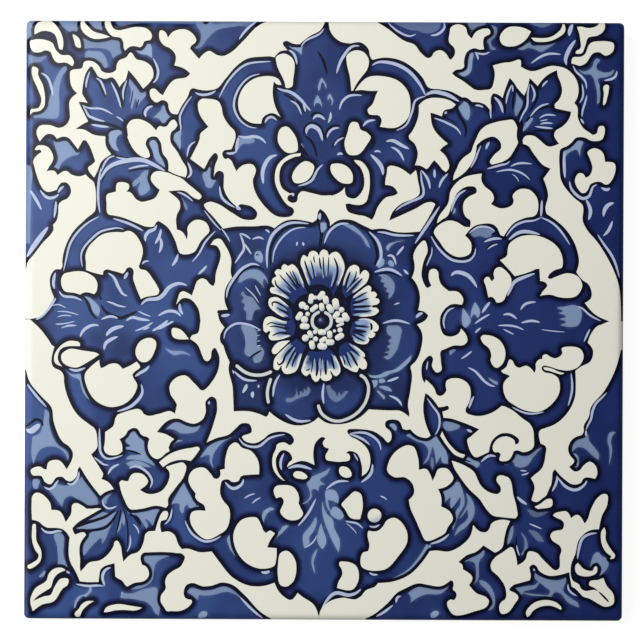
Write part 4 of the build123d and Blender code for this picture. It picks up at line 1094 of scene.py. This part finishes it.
def smooth_curve(points, corners, closed, step):
    """Samples of the curve through the points, about a step apart. A corner breaks the tangent."""
    count = len(points)
    spans = count if closed else count - 1
    ends = [(i, (i + 1) % count) for i in range(spans)]
    chords = [points[b] - points[a] for a, b in ends]
    lengths = [max(float(np.hypot(*chord)), 1e-6) for chord in chords]
    slopes = [chord / length for chord, length in zip(chords, lengths)]
    tangents = [None] * count
    for i in range(count):
        if corners[i] or (not closed and i in (0, count - 1)):
            continue
        before, after = lengths[i - 1], lengths[i % spans]
        tangents[i] = (slopes[i - 1] * after + slopes[i % spans] * before) / (before + after)
    samples = []
    for k, (a, b) in enumerate(ends):
        leave, arrive = tangents[a], tangents[b]
        if leave is None and arrive is None:
            leave = arrive = slopes[k]
        elif leave is None:
            leave = 1.5 * slopes[k] - 0.5 * arrive
        elif arrive is None:
            arrive = 1.5 * slopes[k] - 0.5 * leave
        pieces = max(1, math.ceil(lengths[k] / step))
        t = (np.arange(pieces) / pieces)[:, None]
        start = (2 * t**3 - 3 * t**2 + 1) * points[a] + (t**3 - 2 * t**2 + t) * lengths[k] * leave
        stop = (3 * t**2 - 2 * t**3) * points[b] + (t**3 - t**2) * lengths[k] * arrive
        samples.append(start + stop)
    if not closed:
        samples.append(points[-1:])
    return np.vstack(samples)


def brush_stroke(line, width, tip):
    """Outline of a stroke along a line, whose width falls to the share tip at both ends."""
    along = np.gradient(line, axis=0)
    along /= np.maximum(np.hypot(along[:, 0], along[:, 1]), 1e-9)[:, None]
    across = np.stack([-along[:, 1], along[:, 0]], 1)
    t = np.linspace(0, 1, len(line))
    half = width / 2 * (tip + (1 - tip) * np.sqrt(np.sin(np.pi * t)))[:, None]
    left, right = line + across * half, line - across * half
    if tip < 0.9:
        return np.vstack([left, right[::-1]])
    turn = np.linspace(0, np.pi, 7)[1:-1, None]
    front = line[-1] + half[-1] * (across[-1] * np.cos(turn) + along[-1] * np.sin(turn))
    back = line[0] - half[0] * (across[0] * np.cos(turn) + along[0] * np.sin(turn))
    return np.vstack([left, front, right[::-1], back])


def mark_outline(kind, number, points, corners, step):
    """Closed outline of a mark, in millimetres."""
    if kind in ("cream", "wash", "ray", "shade"):
        return smooth_curve(points, corners, True, step)
    size = number * MM_PER_PIXEL
    if kind == "bead":
        turn = np.linspace(0, 2 * np.pi, 17)[:-1]
        along = points[-1] - points[0]
        ahead = math.atan2(along[1], along[0])
        ends = np.where((np.cos(turn - ahead) > 0)[:, None], points[-1], points[0])
        return ends + size * np.stack([np.cos(turn), np.sin(turn)], 1)
    line = smooth_curve(points, corners, False, step)
    tips = {"white": 1.0, "vein": 0.35, "glint": 0.1}
    return brush_stroke(line, size, tips[kind])


def rise(values, low, high):
    """0 below low and 1 above high, with a smooth rise between them."""
    share = np.clip((values - low) / (high - low), 0, 1)
    return share * share * (3 - 2 * share)


def mark_tint(kind, outline, spots):
    """How blue the ground is at some spots of a bare mark."""
    if kind == "bead":
        low, high = outline.min(0), outline.max(0)
        offset = (spots - (low + high) / 2) / (high - low)
        return BEAD_TINT * rise(0.5 * offset[..., 0] - offset[..., 1], -0.2, 0.6)
    if kind == "ray":
        middle = to_tile([ROSETTE_CENTRE])[0]
        reach = np.hypot(*(outline - middle).T)
        inward = (reach.max() - np.hypot(*np.moveaxis(spots - middle, -1, 0))) / np.ptp(reach)
        rim = outline[reach > reach.min() + 0.3 * np.ptp(reach)]
        gaps = np.hypot(*np.moveaxis(spots[..., None, :] - rim, -1, 0)).min(-1)
        return np.maximum(rise(inward, 0.6, 1.0), rise(inward, 0.15, 0.7) * rise(gaps, 0.25, 0.8))
    return np.full(spots.shape[:-1], WHITE_TINT if kind == "white" else 0.0)


def rounded_square(side, radius, corner_pieces, side_pieces):
    """Points round a square with rounded corners, counter-clockwise."""
    inner = side / 2 - radius
    ring = []
    for quarter in range(4):
        start = quarter * np.pi / 2
        turn = start + np.linspace(0, np.pi / 2, corner_pieces + 1)
        centre = math.sqrt(2) * inner * np.array([math.cos(start + np.pi / 4), math.sin(start + np.pi / 4)])
        arc = centre + radius * np.stack([np.cos(turn), np.sin(turn)], 1)
        heading = np.array([-math.sin(start + np.pi / 2), math.cos(start + np.pi / 2)])
        share = np.linspace(0, 1, side_pieces + 1)[1:-1, None]
        ring += [arc, arc[-1] + share * 2 * inner * heading]
    return np.vstack(ring)


def inside(outline, spots):
    """Which spots the outline winds round."""
    low, high = outline.min(0), outline.max(0)
    near = np.flatnonzero(((spots > low) & (spots < high)).all(1))
    found = np.zeros(len(spots), bool)
    ahead = np.roll(outline, -1, 0)
    for part in np.array_split(near, max(1, len(near) * len(outline) // 4000000 + 1)):
        x, y = spots[part, 0][:, None], spots[part, 1][:, None]
        x0, y0, x1, y1 = outline[:, 0], outline[:, 1], ahead[:, 0], ahead[:, 1]
        side = (x1 - x0) * (y - y0) - (x - x0) * (y1 - y0)
        winding = ((y0 <= y) & (y1 > y) & (side > 0)).sum(1) - ((y0 > y) & (y1 <= y) & (side < 0)).sum(1)
        found[part] = winding != 0
    return found


def planar_map(settings):
    """The printed face cut along every outline: points, triangles, and what each triangle shows."""
    step = settings.curve_step / MM
    marks = []
    for text in GROUNDS + SHADINGS + (ROSETTE,):
        for kind, number, points, corners in read_marks(text):
            marks.append((kind, number, mark_outline(kind, number, points, corners, step)))
    rings = []
    for inset in (0,) + EDGE_RINGS:
        side = TILE_SIDE - 2 * (settings.rim / MM + inset)
        rings.append(rounded_square(side, settings.corner / MM, CORNER_PIECES, SIDE_PIECES))
    points, segments = [], []
    for outline in rings + [outline for _, _, outline in marks]:
        first = sum(map(len, points))
        places = first + np.arange(len(outline))
        points.append(outline)
        segments.append(np.stack([places, np.roll(places, -1)], 1))
    points.append(filling_points(np.vstack(points), settings.filling / MM))
    points, segments = np.vstack(points), np.vstack(segments)
    made = delaunay_2d_cdt([Vector(p) for p in points], segments.tolist(), [], 0, JOIN_DISTANCE, False)
    spots, triangles = np.array([tuple(v) for v in made[0]]), np.array(made[2])
    triangles = triangles[inside(rings[0], spots[triangles].mean(1))]
    first, second = np.moveaxis(np.diff(spots[triangles], axis=1), 1, 0)
    below = first[:, 0] * second[:, 1] < first[:, 1] * second[:, 0]
    triangles[below] = triangles[below, ::-1]
    corners = spots[triangles]
    middles = corners.mean(1)
    bare = np.zeros(len(triangles), bool)
    line = np.zeros(len(triangles), bool)
    pale = np.zeros(len(triangles))
    shade = np.zeros(len(triangles))
    glint = np.zeros(len(triangles), bool)
    tint = np.zeros((len(triangles), 3))
    for kind, number, outline in marks:
        covered = inside(outline, middles)
        if kind in BARE_KINDS:
            bare |= covered
            line &= ~covered
            tint[covered] = mark_tint(kind, outline, corners[covered])
        elif kind == "vein":
            line |= covered
            glint &= ~covered
        elif kind == "glint":
            glint |= covered
            tint[covered] = np.minimum(tint[covered], STREAK_TINT)
        elif kind == "shade":
            shade[covered] = number
        else:
            pale[covered] = min(1.0, WASH_STRENGTH * number)
            line &= ~covered
    bare &= ~line
    glint &= ~bare
    faces = {"bare": bare, "pale": pale, "line": line, "glint": glint, "shade": shade, "tint": tint}
    return spots, triangles, faces


def filling_points(taken, spacing):
    """A grid of points over the face that keeps clear of the points already taken."""
    tree = KDTree(len(taken))
    for i, (x, y) in enumerate(taken):
        tree.insert((x, y, 0), i)
    tree.balance()
    count = int(TILE_SIDE / spacing)
    line = (np.arange(count) - (count - 1) / 2) * spacing
    grid = [(x, y) for x in line for y in line]
    return np.array([p for p in grid if tree.find((p[0], p[1], 0))[2] > CLEAR_SHARE * spacing])


def border_depth(spots, triangles, bare):
    """Distance of each point from the nearest line between bare ground and colour."""
    edges = np.sort(np.vstack([triangles[:, [0, 1]], triangles[:, [1, 2]], triangles[:, [2, 0]]]), 1)
    owners = np.tile(np.arange(len(triangles)), 3)
    order = np.lexsort((edges[:, 1], edges[:, 0]))
    edges, owners = edges[order], owners[order]
    pair = np.flatnonzero((edges[1:] == edges[:-1]).all(1))
    split = pair[bare[owners[pair]] != bare[owners[pair + 1]]]
    ends = spots[edges[split]]
    marks = np.vstack([ends[:, 0], ends.mean(1), ends[:, 1]])
    tree = KDTree(len(marks))
    for i, (x, y) in enumerate(marks):
        tree.insert((x, y, 0), i)
    tree.balance()
    return np.array([tree.find((x, y, 0))[2] for x, y in spots])


def onto_face(spots, lift):
    """Points on the tile's face, a lift off it along its normal, in metres."""
    tree = BVHTree.FromObject(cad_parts[TILE_NODE], bpy.context.evaluated_depsgraph_get())
    above = CAD_HIGH.z + 0.01
    placed = []
    for x, y in spots * MM:
        spot, normal, _, _ = tree.ray_cast(Vector((x, y, above)), Vector((0, 0, -1)))
        if spot is None:
            spot, normal, _, _ = tree.find_nearest(Vector((x, y, CAD_HIGH.z)))
        placed.append(spot + normal * lift)
    return placed


def srgb(red, green, blue):
    """A colour of the screen, 0 to 255, as the linear colour that a shader takes."""
    shares = [channel / 255 for channel in (red, green, blue)]
    linear = [c / 12.92 if c <= 0.04045 else ((c + 0.055) / 1.055) ** 2.4 for c in shares]
    return (*linear, 1.0)


# Colours of the glaze and the fired body
CREAM = srgb(240, 240, 226)
INK = srgb(5, 10, 38)
DEEP_BLUE = srgb(15, 29, 82)
BLUE = srgb(27, 47, 108)
# Blue of the left side of the face, lighter there as painted light from the lamp at the left
LIT_LEFT_BLUE = srgb(56, 84, 143)
PALE_BLUE = srgb(147, 170, 205)
GLINT = srgb(186, 198, 226)
DUSK = srgb(14, 24, 66)
BISCUIT = srgb(214, 196, 170)
PALE_BISCUIT = srgb(228, 214, 192)
IRON_SPECK = srgb(150, 116, 84)


def link(material, output, socket):
    """Joins an output of one node to an input of another."""
    material.node_tree.links.new(output, socket)


def add_node(material, kind, **values):
    """A node of the material with its named inputs set."""
    node = material.node_tree.nodes.new(kind)
    for name, value in values.items():
        node.inputs[name.replace("_", " ")].default_value = value
    return node


def read_attribute(material, name):
    """The output of an attribute of the piece's mesh."""
    node = add_node(material, "ShaderNodeAttribute")
    node.attribute_name = name
    return node.outputs["Fac"]


def ease(material, value, low, high):
    """0 below low and 1 above high, with a smooth rise between them."""
    node = add_node(material, "ShaderNodeMapRange", From_Min=low, From_Max=high)
    node.interpolation_type = "SMOOTHSTEP"
    link(material, value, node.inputs["Value"])
    return node.outputs["Result"]


def spread(material, share, low, high):
    """A share from 0 to 1 spread from low to high."""
    node = add_node(material, "ShaderNodeMapRange", To_Min=low, To_Max=high)
    link(material, share, node.inputs["Value"])
    return node.outputs["Result"]


def mix(material, share, first, second):
    """First colour at share 0 and second at share 1. A colour is a value or an output."""
    node = material.node_tree.nodes.new("ShaderNodeMix")
    node.data_type = "RGBA"
    share_in, first_in, second_in = node.inputs[0], node.inputs[6], node.inputs[7]
    for socket, value in ((share_in, share), (first_in, first), (second_in, second)):
        if isinstance(value, bpy.types.NodeSocket):
            link(material, value, socket)
        else:
            socket.default_value = value
    return node.outputs[2]


def new_surface(name, roughness):
    """A material and its one surface shader."""
    material = bpy.data.materials.new(name)
    material.use_nodes = True
    surface = material.node_tree.nodes["Principled BSDF"]
    surface.inputs["Roughness"].default_value = roughness
    surface.inputs["Specular IOR Level"].default_value = SPECULAR
    return material, surface


def glaze_material(settings):
    """Cobalt blue painted on a cream glaze, read from the attributes of the planar map, with painted light
    that makes the blue lighter on the left and darker on the right.
    """
    material, surface = new_surface("printed_glaze", settings.roughness)
    depth = read_attribute(material, "depth")
    cloud = add_node(material, "ShaderNodeTexNoise", Scale=settings.clouds, Detail=2.0)
    place = add_node(material, "ShaderNodeTexCoord").outputs["Object"]
    link(material, place, cloud.inputs["Vector"])
    axes = add_node(material, "ShaderNodeSeparateXYZ")
    link(material, place, axes.inputs["Vector"])
    # Painted light: the blue runs from lighter at the left to darker at the right, as the lamp light falls
    # across the face
    left_lit_blue = mix(material, ease(material, axes.outputs["X"], CAD_LOW.x, CAD_HIGH.x), LIT_LEFT_BLUE, BLUE)
    clouded = mix(material, 0.55, DEEP_BLUE, left_lit_blue)
    inner = mix(material, ease(material, cloud.outputs["Fac"], 0.36, 0.6), clouded, left_lit_blue)
    blue = mix(material, ease(material, depth, settings.ink / MM, settings.fade / MM), DEEP_BLUE, inner)
    dusky = mix(material, read_attribute(material, "shade"), blue, DUSK)
    shaded = mix(material, read_attribute(material, "pale"), dusky, PALE_BLUE)
    low, high = (share * settings.ink / MM for share in INK_SHARES)
    outlined = mix(material, ease(material, depth, low, high), INK, shaded)
    inked = mix(material, read_attribute(material, "line"), outlined, INK)
    lined = mix(material, read_attribute(material, "glint"), inked, GLINT)
    tint = read_attribute(material, "tint")
    rinsed = mix(material, ease(material, tint, 0, 0.5), CREAM, PALE_BLUE)
    ground = mix(material, ease(material, tint, 0.4, 1), rinsed, BLUE)
    painted = mix(material, read_attribute(material, "bare"), lined, ground)
    link(material, painted, surface.inputs["Base Color"])
    dull = settings.roughness + GLOSS_CHANGE
    gloss = spread(material, cloud.outputs["Fac"], settings.roughness - GLOSS_CHANGE, dull)
    link(material, gloss, surface.inputs["Roughness"])
    peel = add_node(material, "ShaderNodeTexNoise", Scale=settings.peel, Detail=1.0)
    link(material, place, peel.inputs["Vector"])
    bump = add_node(material, "ShaderNodeBump", Strength=0.08, Distance=0.0001)
    link(material, peel.outputs["Fac"], bump.inputs["Height"])
    link(material, bump.outputs["Normal"], surface.inputs["Normal"])
    return material


def body_material(settings):
    """Fired body: cream glaze round the top of the sides, bare biscuit lower down and on the back."""
    material, surface = new_surface("fired_body", settings.roughness)
    place = add_node(material, "ShaderNodeTexCoord").outputs["Object"]
    axes = add_node(material, "ShaderNodeSeparateXYZ")
    link(material, place, axes.inputs["Vector"])
    foot = settings.glaze_foot
    glazed = ease(material, axes.outputs["Z"], foot - GLAZE_THINNING, foot + GLAZE_THINNING)
    grain = add_node(material, "ShaderNodeTexNoise", Scale=settings.grain, Detail=6.0)
    link(material, place, grain.inputs["Vector"])
    specks = add_node(material, "ShaderNodeTexNoise", Scale=2 * settings.grain, Detail=1.0)
    link(material, place, specks.inputs["Vector"])
    sandy = mix(material, ease(material, grain.outputs["Fac"], 0.35, 0.65), BISCUIT, PALE_BISCUIT)
    speckled = mix(material, ease(material, specks.outputs["Fac"], 0.68, 0.76), sandy, IRON_SPECK)
    colour = mix(material, glazed, speckled, CREAM)
    link(material, colour, surface.inputs["Base Color"])
    dullness = spread(material, glazed, BISCUIT_ROUGHNESS, settings.roughness)
    link(material, dullness, surface.inputs["Roughness"])
    bump = add_node(material, "ShaderNodeBump", Distance=0.0003)
    link(material, spread(material, glazed, 0.5, 0.05), bump.inputs["Strength"])
    link(material, grain.outputs["Fac"], bump.inputs["Height"])
    link(material, bump.outputs["Normal"], surface.inputs["Normal"])
    return material


def length_property(name, description, default):
    """A setting that is a length in metres."""
    return FloatProperty(
        name=name, description=description, default=default, subtype="DISTANCE", unit="LENGTH"
    )


class GlazeSettings(bpy.types.PropertyGroup):
    """Sizes of the printed glaze."""

    rim: length_property(
        name="Rim", description="Plan distance from the tile's outline to the print", default=0.00006
    )
    corner: length_property(
        name="Corner", description="Plan radius of the print's corners", default=0.0012
    )
    lift: length_property(name="Lift", description="Height of the glaze over the body", default=0.00004)
    curve_step: length_property(
        name="Curve step", description="Length of one piece of a curve", default=0.0005
    )
    filling: length_property(
        name="Filling", description="Spacing of the points between outlines", default=0.0007
    )
    ink: length_property(
        name="Ink", description="Width of the dark line round a painted shape", default=0.0009
    )
    fade: length_property(
        name="Fade", description="Depth in a painted shape at which the blue is lightest", default=0.002
    )
    clouds: FloatProperty(
        name="Clouds", description="Light and dark patches of the blue per metre", default=60.0
    )
    peel: FloatProperty(name="Peel", description="Ripples of the glaze's surface per metre", default=350.0)
    grain: FloatProperty(name="Grain", description="Sandy grains of the biscuit per metre", default=700.0)
    roughness: FloatProperty(
        name="Roughness", description="Roughness of the glaze", default=0.36, subtype="FACTOR"
    )
    glaze_foot: length_property(
        name="Glaze foot", description="Height on the sides where the glaze ends", default=0.0042
    )


class StageSettings(bpy.types.PropertyGroup):
    """Light, floor and camera."""

    key_power: FloatProperty(
        name="Key power", description="Power of the soft key light", default=2.22, unit="POWER"
    )
    key_place: FloatVectorProperty(
        name="Key place", description="Centre of the key light", default=(-0.29, 0.17, 0.40),
        subtype="TRANSLATION", unit="LENGTH",
    )
    key_width: length_property(name="Key width", description="Side of the square key light", default=0.35)
    side_power: FloatProperty(
        name="Side power", description="Power of the low light at the left", default=0.45, unit="POWER"
    )
    side_place: FloatVectorProperty(
        name="Side place", description="Centre of the low light", default=(-0.42, -0.13, 0.09),
        subtype="TRANSLATION", unit="LENGTH",
    )
    side_width: length_property(
        name="Side width", description="Side of the square low light", default=0.28
    )
    fill: FloatProperty(name="Fill", description="Strength of the even light all round", default=0.3)
    lens: FloatProperty(name="Lens", description="Focal length in millimetres", default=100.0)
    floor_size: length_property(name="Floor size", description="Side of the floor", default=6.0)


class TILE_OT_fired_body(bpy.types.Operator):
    """Gives the tile's body its biscuit and its glazed sides"""

    bl_idname = "tile.fired_body"
    bl_label = "Fired body"

    def execute(self, context):
        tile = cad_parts[TILE_NODE]
        tile.data.materials.clear()
        tile.data.materials.append(body_material(context.scene.tile_glaze))
        return {"FINISHED"}


class TILE_OT_printed_glaze(bpy.types.Operator):
    """Lays the printed glaze over the tile's face"""

    bl_idname = "tile.printed_glaze"
    bl_label = "Printed glaze"

    def execute(self, context):
        settings = context.scene.tile_glaze
        spots, triangles, faces = planar_map(settings)
        depth = border_depth(spots, triangles, faces["bare"])
        used = np.unique(triangles)
        places = np.zeros(len(spots), int)
        places[used] = np.arange(len(used))
        shape = bmesh.new()
        corners = [shape.verts.new(place) for place in onto_face(spots[used], settings.lift)]
        for triangle in places[triangles]:
            shape.faces.new([corners[i] for i in triangle]).smooth = True
        mesh = bpy.data.meshes.new("printed_glaze")
        shape.to_mesh(mesh)
        shape.free()
        soft = point_means(len(spots), triangles, faces["pale"])
        shade = faces["shade"]
        for _ in range(SHADE_ROUNDS):
            shade = point_means(len(spots), triangles, shade)[triangles].mean(1)
        dusk = point_means(len(spots), triangles, shade)
        add_attribute(mesh, "depth", "POINT", depth[used])
        add_attribute(mesh, "shade", "POINT", dusk[used])
        add_attribute(mesh, "tint", "CORNER", faces["tint"].ravel())
        pale = CRISP_WASH * faces["pale"][:, None] + (1 - CRISP_WASH) * soft[triangles]
        add_attribute(mesh, "pale", "CORNER", pale.ravel())
        for name in ("bare", "line", "glint"):
            add_attribute(mesh, name, "FACE", faces[name])
        lay_flat_map(mesh)
        mesh.materials.append(glaze_material(settings))
        glaze = bpy.data.objects.new("printed_glaze", mesh)
        context.scene.collection.objects.link(glaze)
        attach(glaze, "root")
        return {"FINISHED"}


def point_means(count, triangles, values):
    """Mean of the values of the triangles round each point."""
    sums = np.zeros(count)
    np.add.at(sums, triangles, values[:, None])
    return sums / np.maximum(np.bincount(triangles.ravel(), minlength=count), 1)


def add_attribute(mesh, name, domain, values):
    """A number for each point, face or corner of a face that the material reads."""
    layer = mesh.attributes.new(name, "FLOAT", domain)
    layer.data.foreach_set("value", np.asarray(values, np.float32))


def lay_flat_map(mesh):
    """A map of the face seen from above, spread over nearly the whole square of the map."""
    layer = mesh.uv_layers.new(name="OFBake")
    corners = np.empty(len(mesh.loops), np.int32)
    mesh.loops.foreach_get("vertex_index", corners)
    places = np.empty(len(mesh.vertices) * 3, np.float32)
    mesh.vertices.foreach_get("co", places)
    flat = places.reshape(-1, 3)[corners, :2] / (TILE_SIDE * MM) + 0.5
    layer.data.foreach_set("uv", (0.002 + 0.996 * flat).astype(np.float32).ravel())


class TILE_OT_stage(bpy.types.Operator):
    """Sets up the floor, the light and the camera"""

    bl_idname = "tile.stage"
    bl_label = "Stage"

    def execute(self, context):
        settings = context.scene.tile_stage
        make_floor(settings)
        make_light(settings)
        make_camera(settings)
        context.scene.view_settings.view_transform = "Standard"
        return {"FINISHED"}


def make_floor(settings):
    """A plain white floor under the tile that keeps its shadow."""
    shape = bmesh.new()
    bmesh.ops.create_grid(shape, x_segments=1, y_segments=1, size=settings.floor_size / 2)
    bmesh.ops.translate(shape, verts=shape.verts, vec=(0, 0, CAD_LOW.z - 0.0002))
    mesh = bpy.data.meshes.new("floor")
    shape.to_mesh(mesh)
    shape.free()
    material = bpy.data.materials.new("floor")
    material.use_nodes = True
    nodes, links = material.node_tree.nodes, material.node_tree.links
    nodes.clear()
    seen = add_node(material, "ShaderNodeBsdfDiffuse", Color=(0.35, 0.35, 0.35, 1))
    glow = add_node(material, "ShaderNodeEmission", Color=(1, 1, 1, 1), Strength=0.86)
    bright = nodes.new("ShaderNodeAddShader")
    unseen = add_node(material, "ShaderNodeBsdfDiffuse", Color=(0.25, 0.25, 0.25, 1))
    choice = nodes.new("ShaderNodeMixShader")
    links.new(seen.outputs[0], bright.inputs[0])
    links.new(glow.outputs[0], bright.inputs[1])
    links.new(nodes.new("ShaderNodeLightPath").outputs["Is Camera Ray"], choice.inputs[0])
    links.new(unseen.outputs[0], choice.inputs[1])
    links.new(bright.outputs[0], choice.inputs[2])
    links.new(choice.outputs[0], nodes.new("ShaderNodeOutputMaterial").inputs["Surface"])
    mesh.materials.append(material)
    floor = bpy.data.objects.new("floor", mesh)
    bpy.context.scene.collection.objects.link(floor)


def make_lamp(name, power, place, width):
    """A square soft lamp that points at the tile."""
    lamp = bpy.data.lights.new(name, "AREA")
    lamp.energy = power
    lamp.size = width
    stand = bpy.data.objects.new(name, lamp)
    stand.location = place
    stand.rotation_euler = (-Vector(place)).to_track_quat("-Z", "Y").to_euler()
    bpy.context.scene.collection.objects.link(stand)


def make_light(settings):
    """A soft key light from the upper left, a low light for the left edge and an even fill, white
    where the camera sees it."""
    make_lamp("key", settings.key_power, settings.key_place, settings.key_width)
    make_lamp("side", settings.side_power, settings.side_place, settings.side_width)
    world = bpy.data.worlds.new("studio")
    world.use_nodes = True
    nodes, links = world.node_tree.nodes, world.node_tree.links
    nodes.clear()
    dim = nodes.new("ShaderNodeBackground")
    dim.inputs["Color"].default_value = (1, 1, 1, 1)
    dim.inputs["Strength"].default_value = settings.fill
    white = nodes.new("ShaderNodeBackground")
    white.inputs["Color"].default_value = (1, 1, 1, 1)
    dark = nodes.new("ShaderNodeBackground")
    dark.inputs["Color"].default_value = (0, 0, 0, 1)
    path = nodes.new("ShaderNodeLightPath")
    mirrored = nodes.new("ShaderNodeMixShader")
    links.new(path.outputs["Is Glossy Ray"], mirrored.inputs[0])
    links.new(dim.outputs[0], mirrored.inputs[1])
    links.new(dark.outputs[0], mirrored.inputs[2])
    choice = nodes.new("ShaderNodeMixShader")
    links.new(path.outputs["Is Camera Ray"], choice.inputs[0])
    links.new(mirrored.outputs[0], choice.inputs[1])
    links.new(white.outputs[0], choice.inputs[2])
    links.new(choice.outputs[0], nodes.new("ShaderNodeOutputWorld").inputs["Surface"])
    bpy.context.scene.world = world


def make_camera(settings):
    """A camera over the face, framed and turned as the photograph is."""
    view = bpy.data.cameras.new("camera")
    view.lens = settings.lens
    camera = bpy.data.objects.new("camera", view)
    aim = to_tile([(PHOTO_SIZE / 2, PHOTO_SIZE / 2)])[0] * MM
    frame_width = PHOTO_SIZE * MM_PER_PIXEL * MM
    height = CAD_HIGH.z + frame_width * view.lens / view.sensor_width
    camera.location = (aim[0], aim[1], height)
    camera.rotation_euler = (0, 0, PHOTO_ROLL)
    bpy.context.scene.collection.objects.link(camera)
    bpy.context.scene.camera = camera


class TILE_PT_looks(bpy.types.Panel):
    """Sizes and steps of the tile's looks"""

    bl_idname = "TILE_PT_looks"
    bl_label = "Decorative tile"
    bl_space_type = "VIEW_3D"
    bl_region_type = "UI"
    bl_category = "Tile"

    def draw(self, context):
        for settings in (context.scene.tile_glaze, context.scene.tile_stage):
            for name in settings.bl_rna.properties.keys():
                if name not in ("rna_type", "name"):
                    self.layout.prop(settings, name)
        for step in STEPS:
            self.layout.operator(step.bl_idname)


STEPS = (TILE_OT_fired_body, TILE_OT_printed_glaze, TILE_OT_stage)
CLASSES = (GlazeSettings, StageSettings) + STEPS + (TILE_PT_looks,)


def register():
    for kind in CLASSES:
        bpy.utils.register_class(kind)
    bpy.types.Scene.tile_glaze = PointerProperty(type=GlazeSettings)
    bpy.types.Scene.tile_stage = PointerProperty(type=StageSettings)


def unregister():
    del bpy.types.Scene.tile_stage
    del bpy.types.Scene.tile_glaze
    for kind in reversed(CLASSES):
        bpy.utils.unregister_class(kind)


def main():
    """Builds the looks."""
    register()
    bpy.ops.tile.fired_body()
    bpy.ops.tile.printed_glaze()
    bpy.ops.tile.stage()


if __name__ == "__main__":
    main()
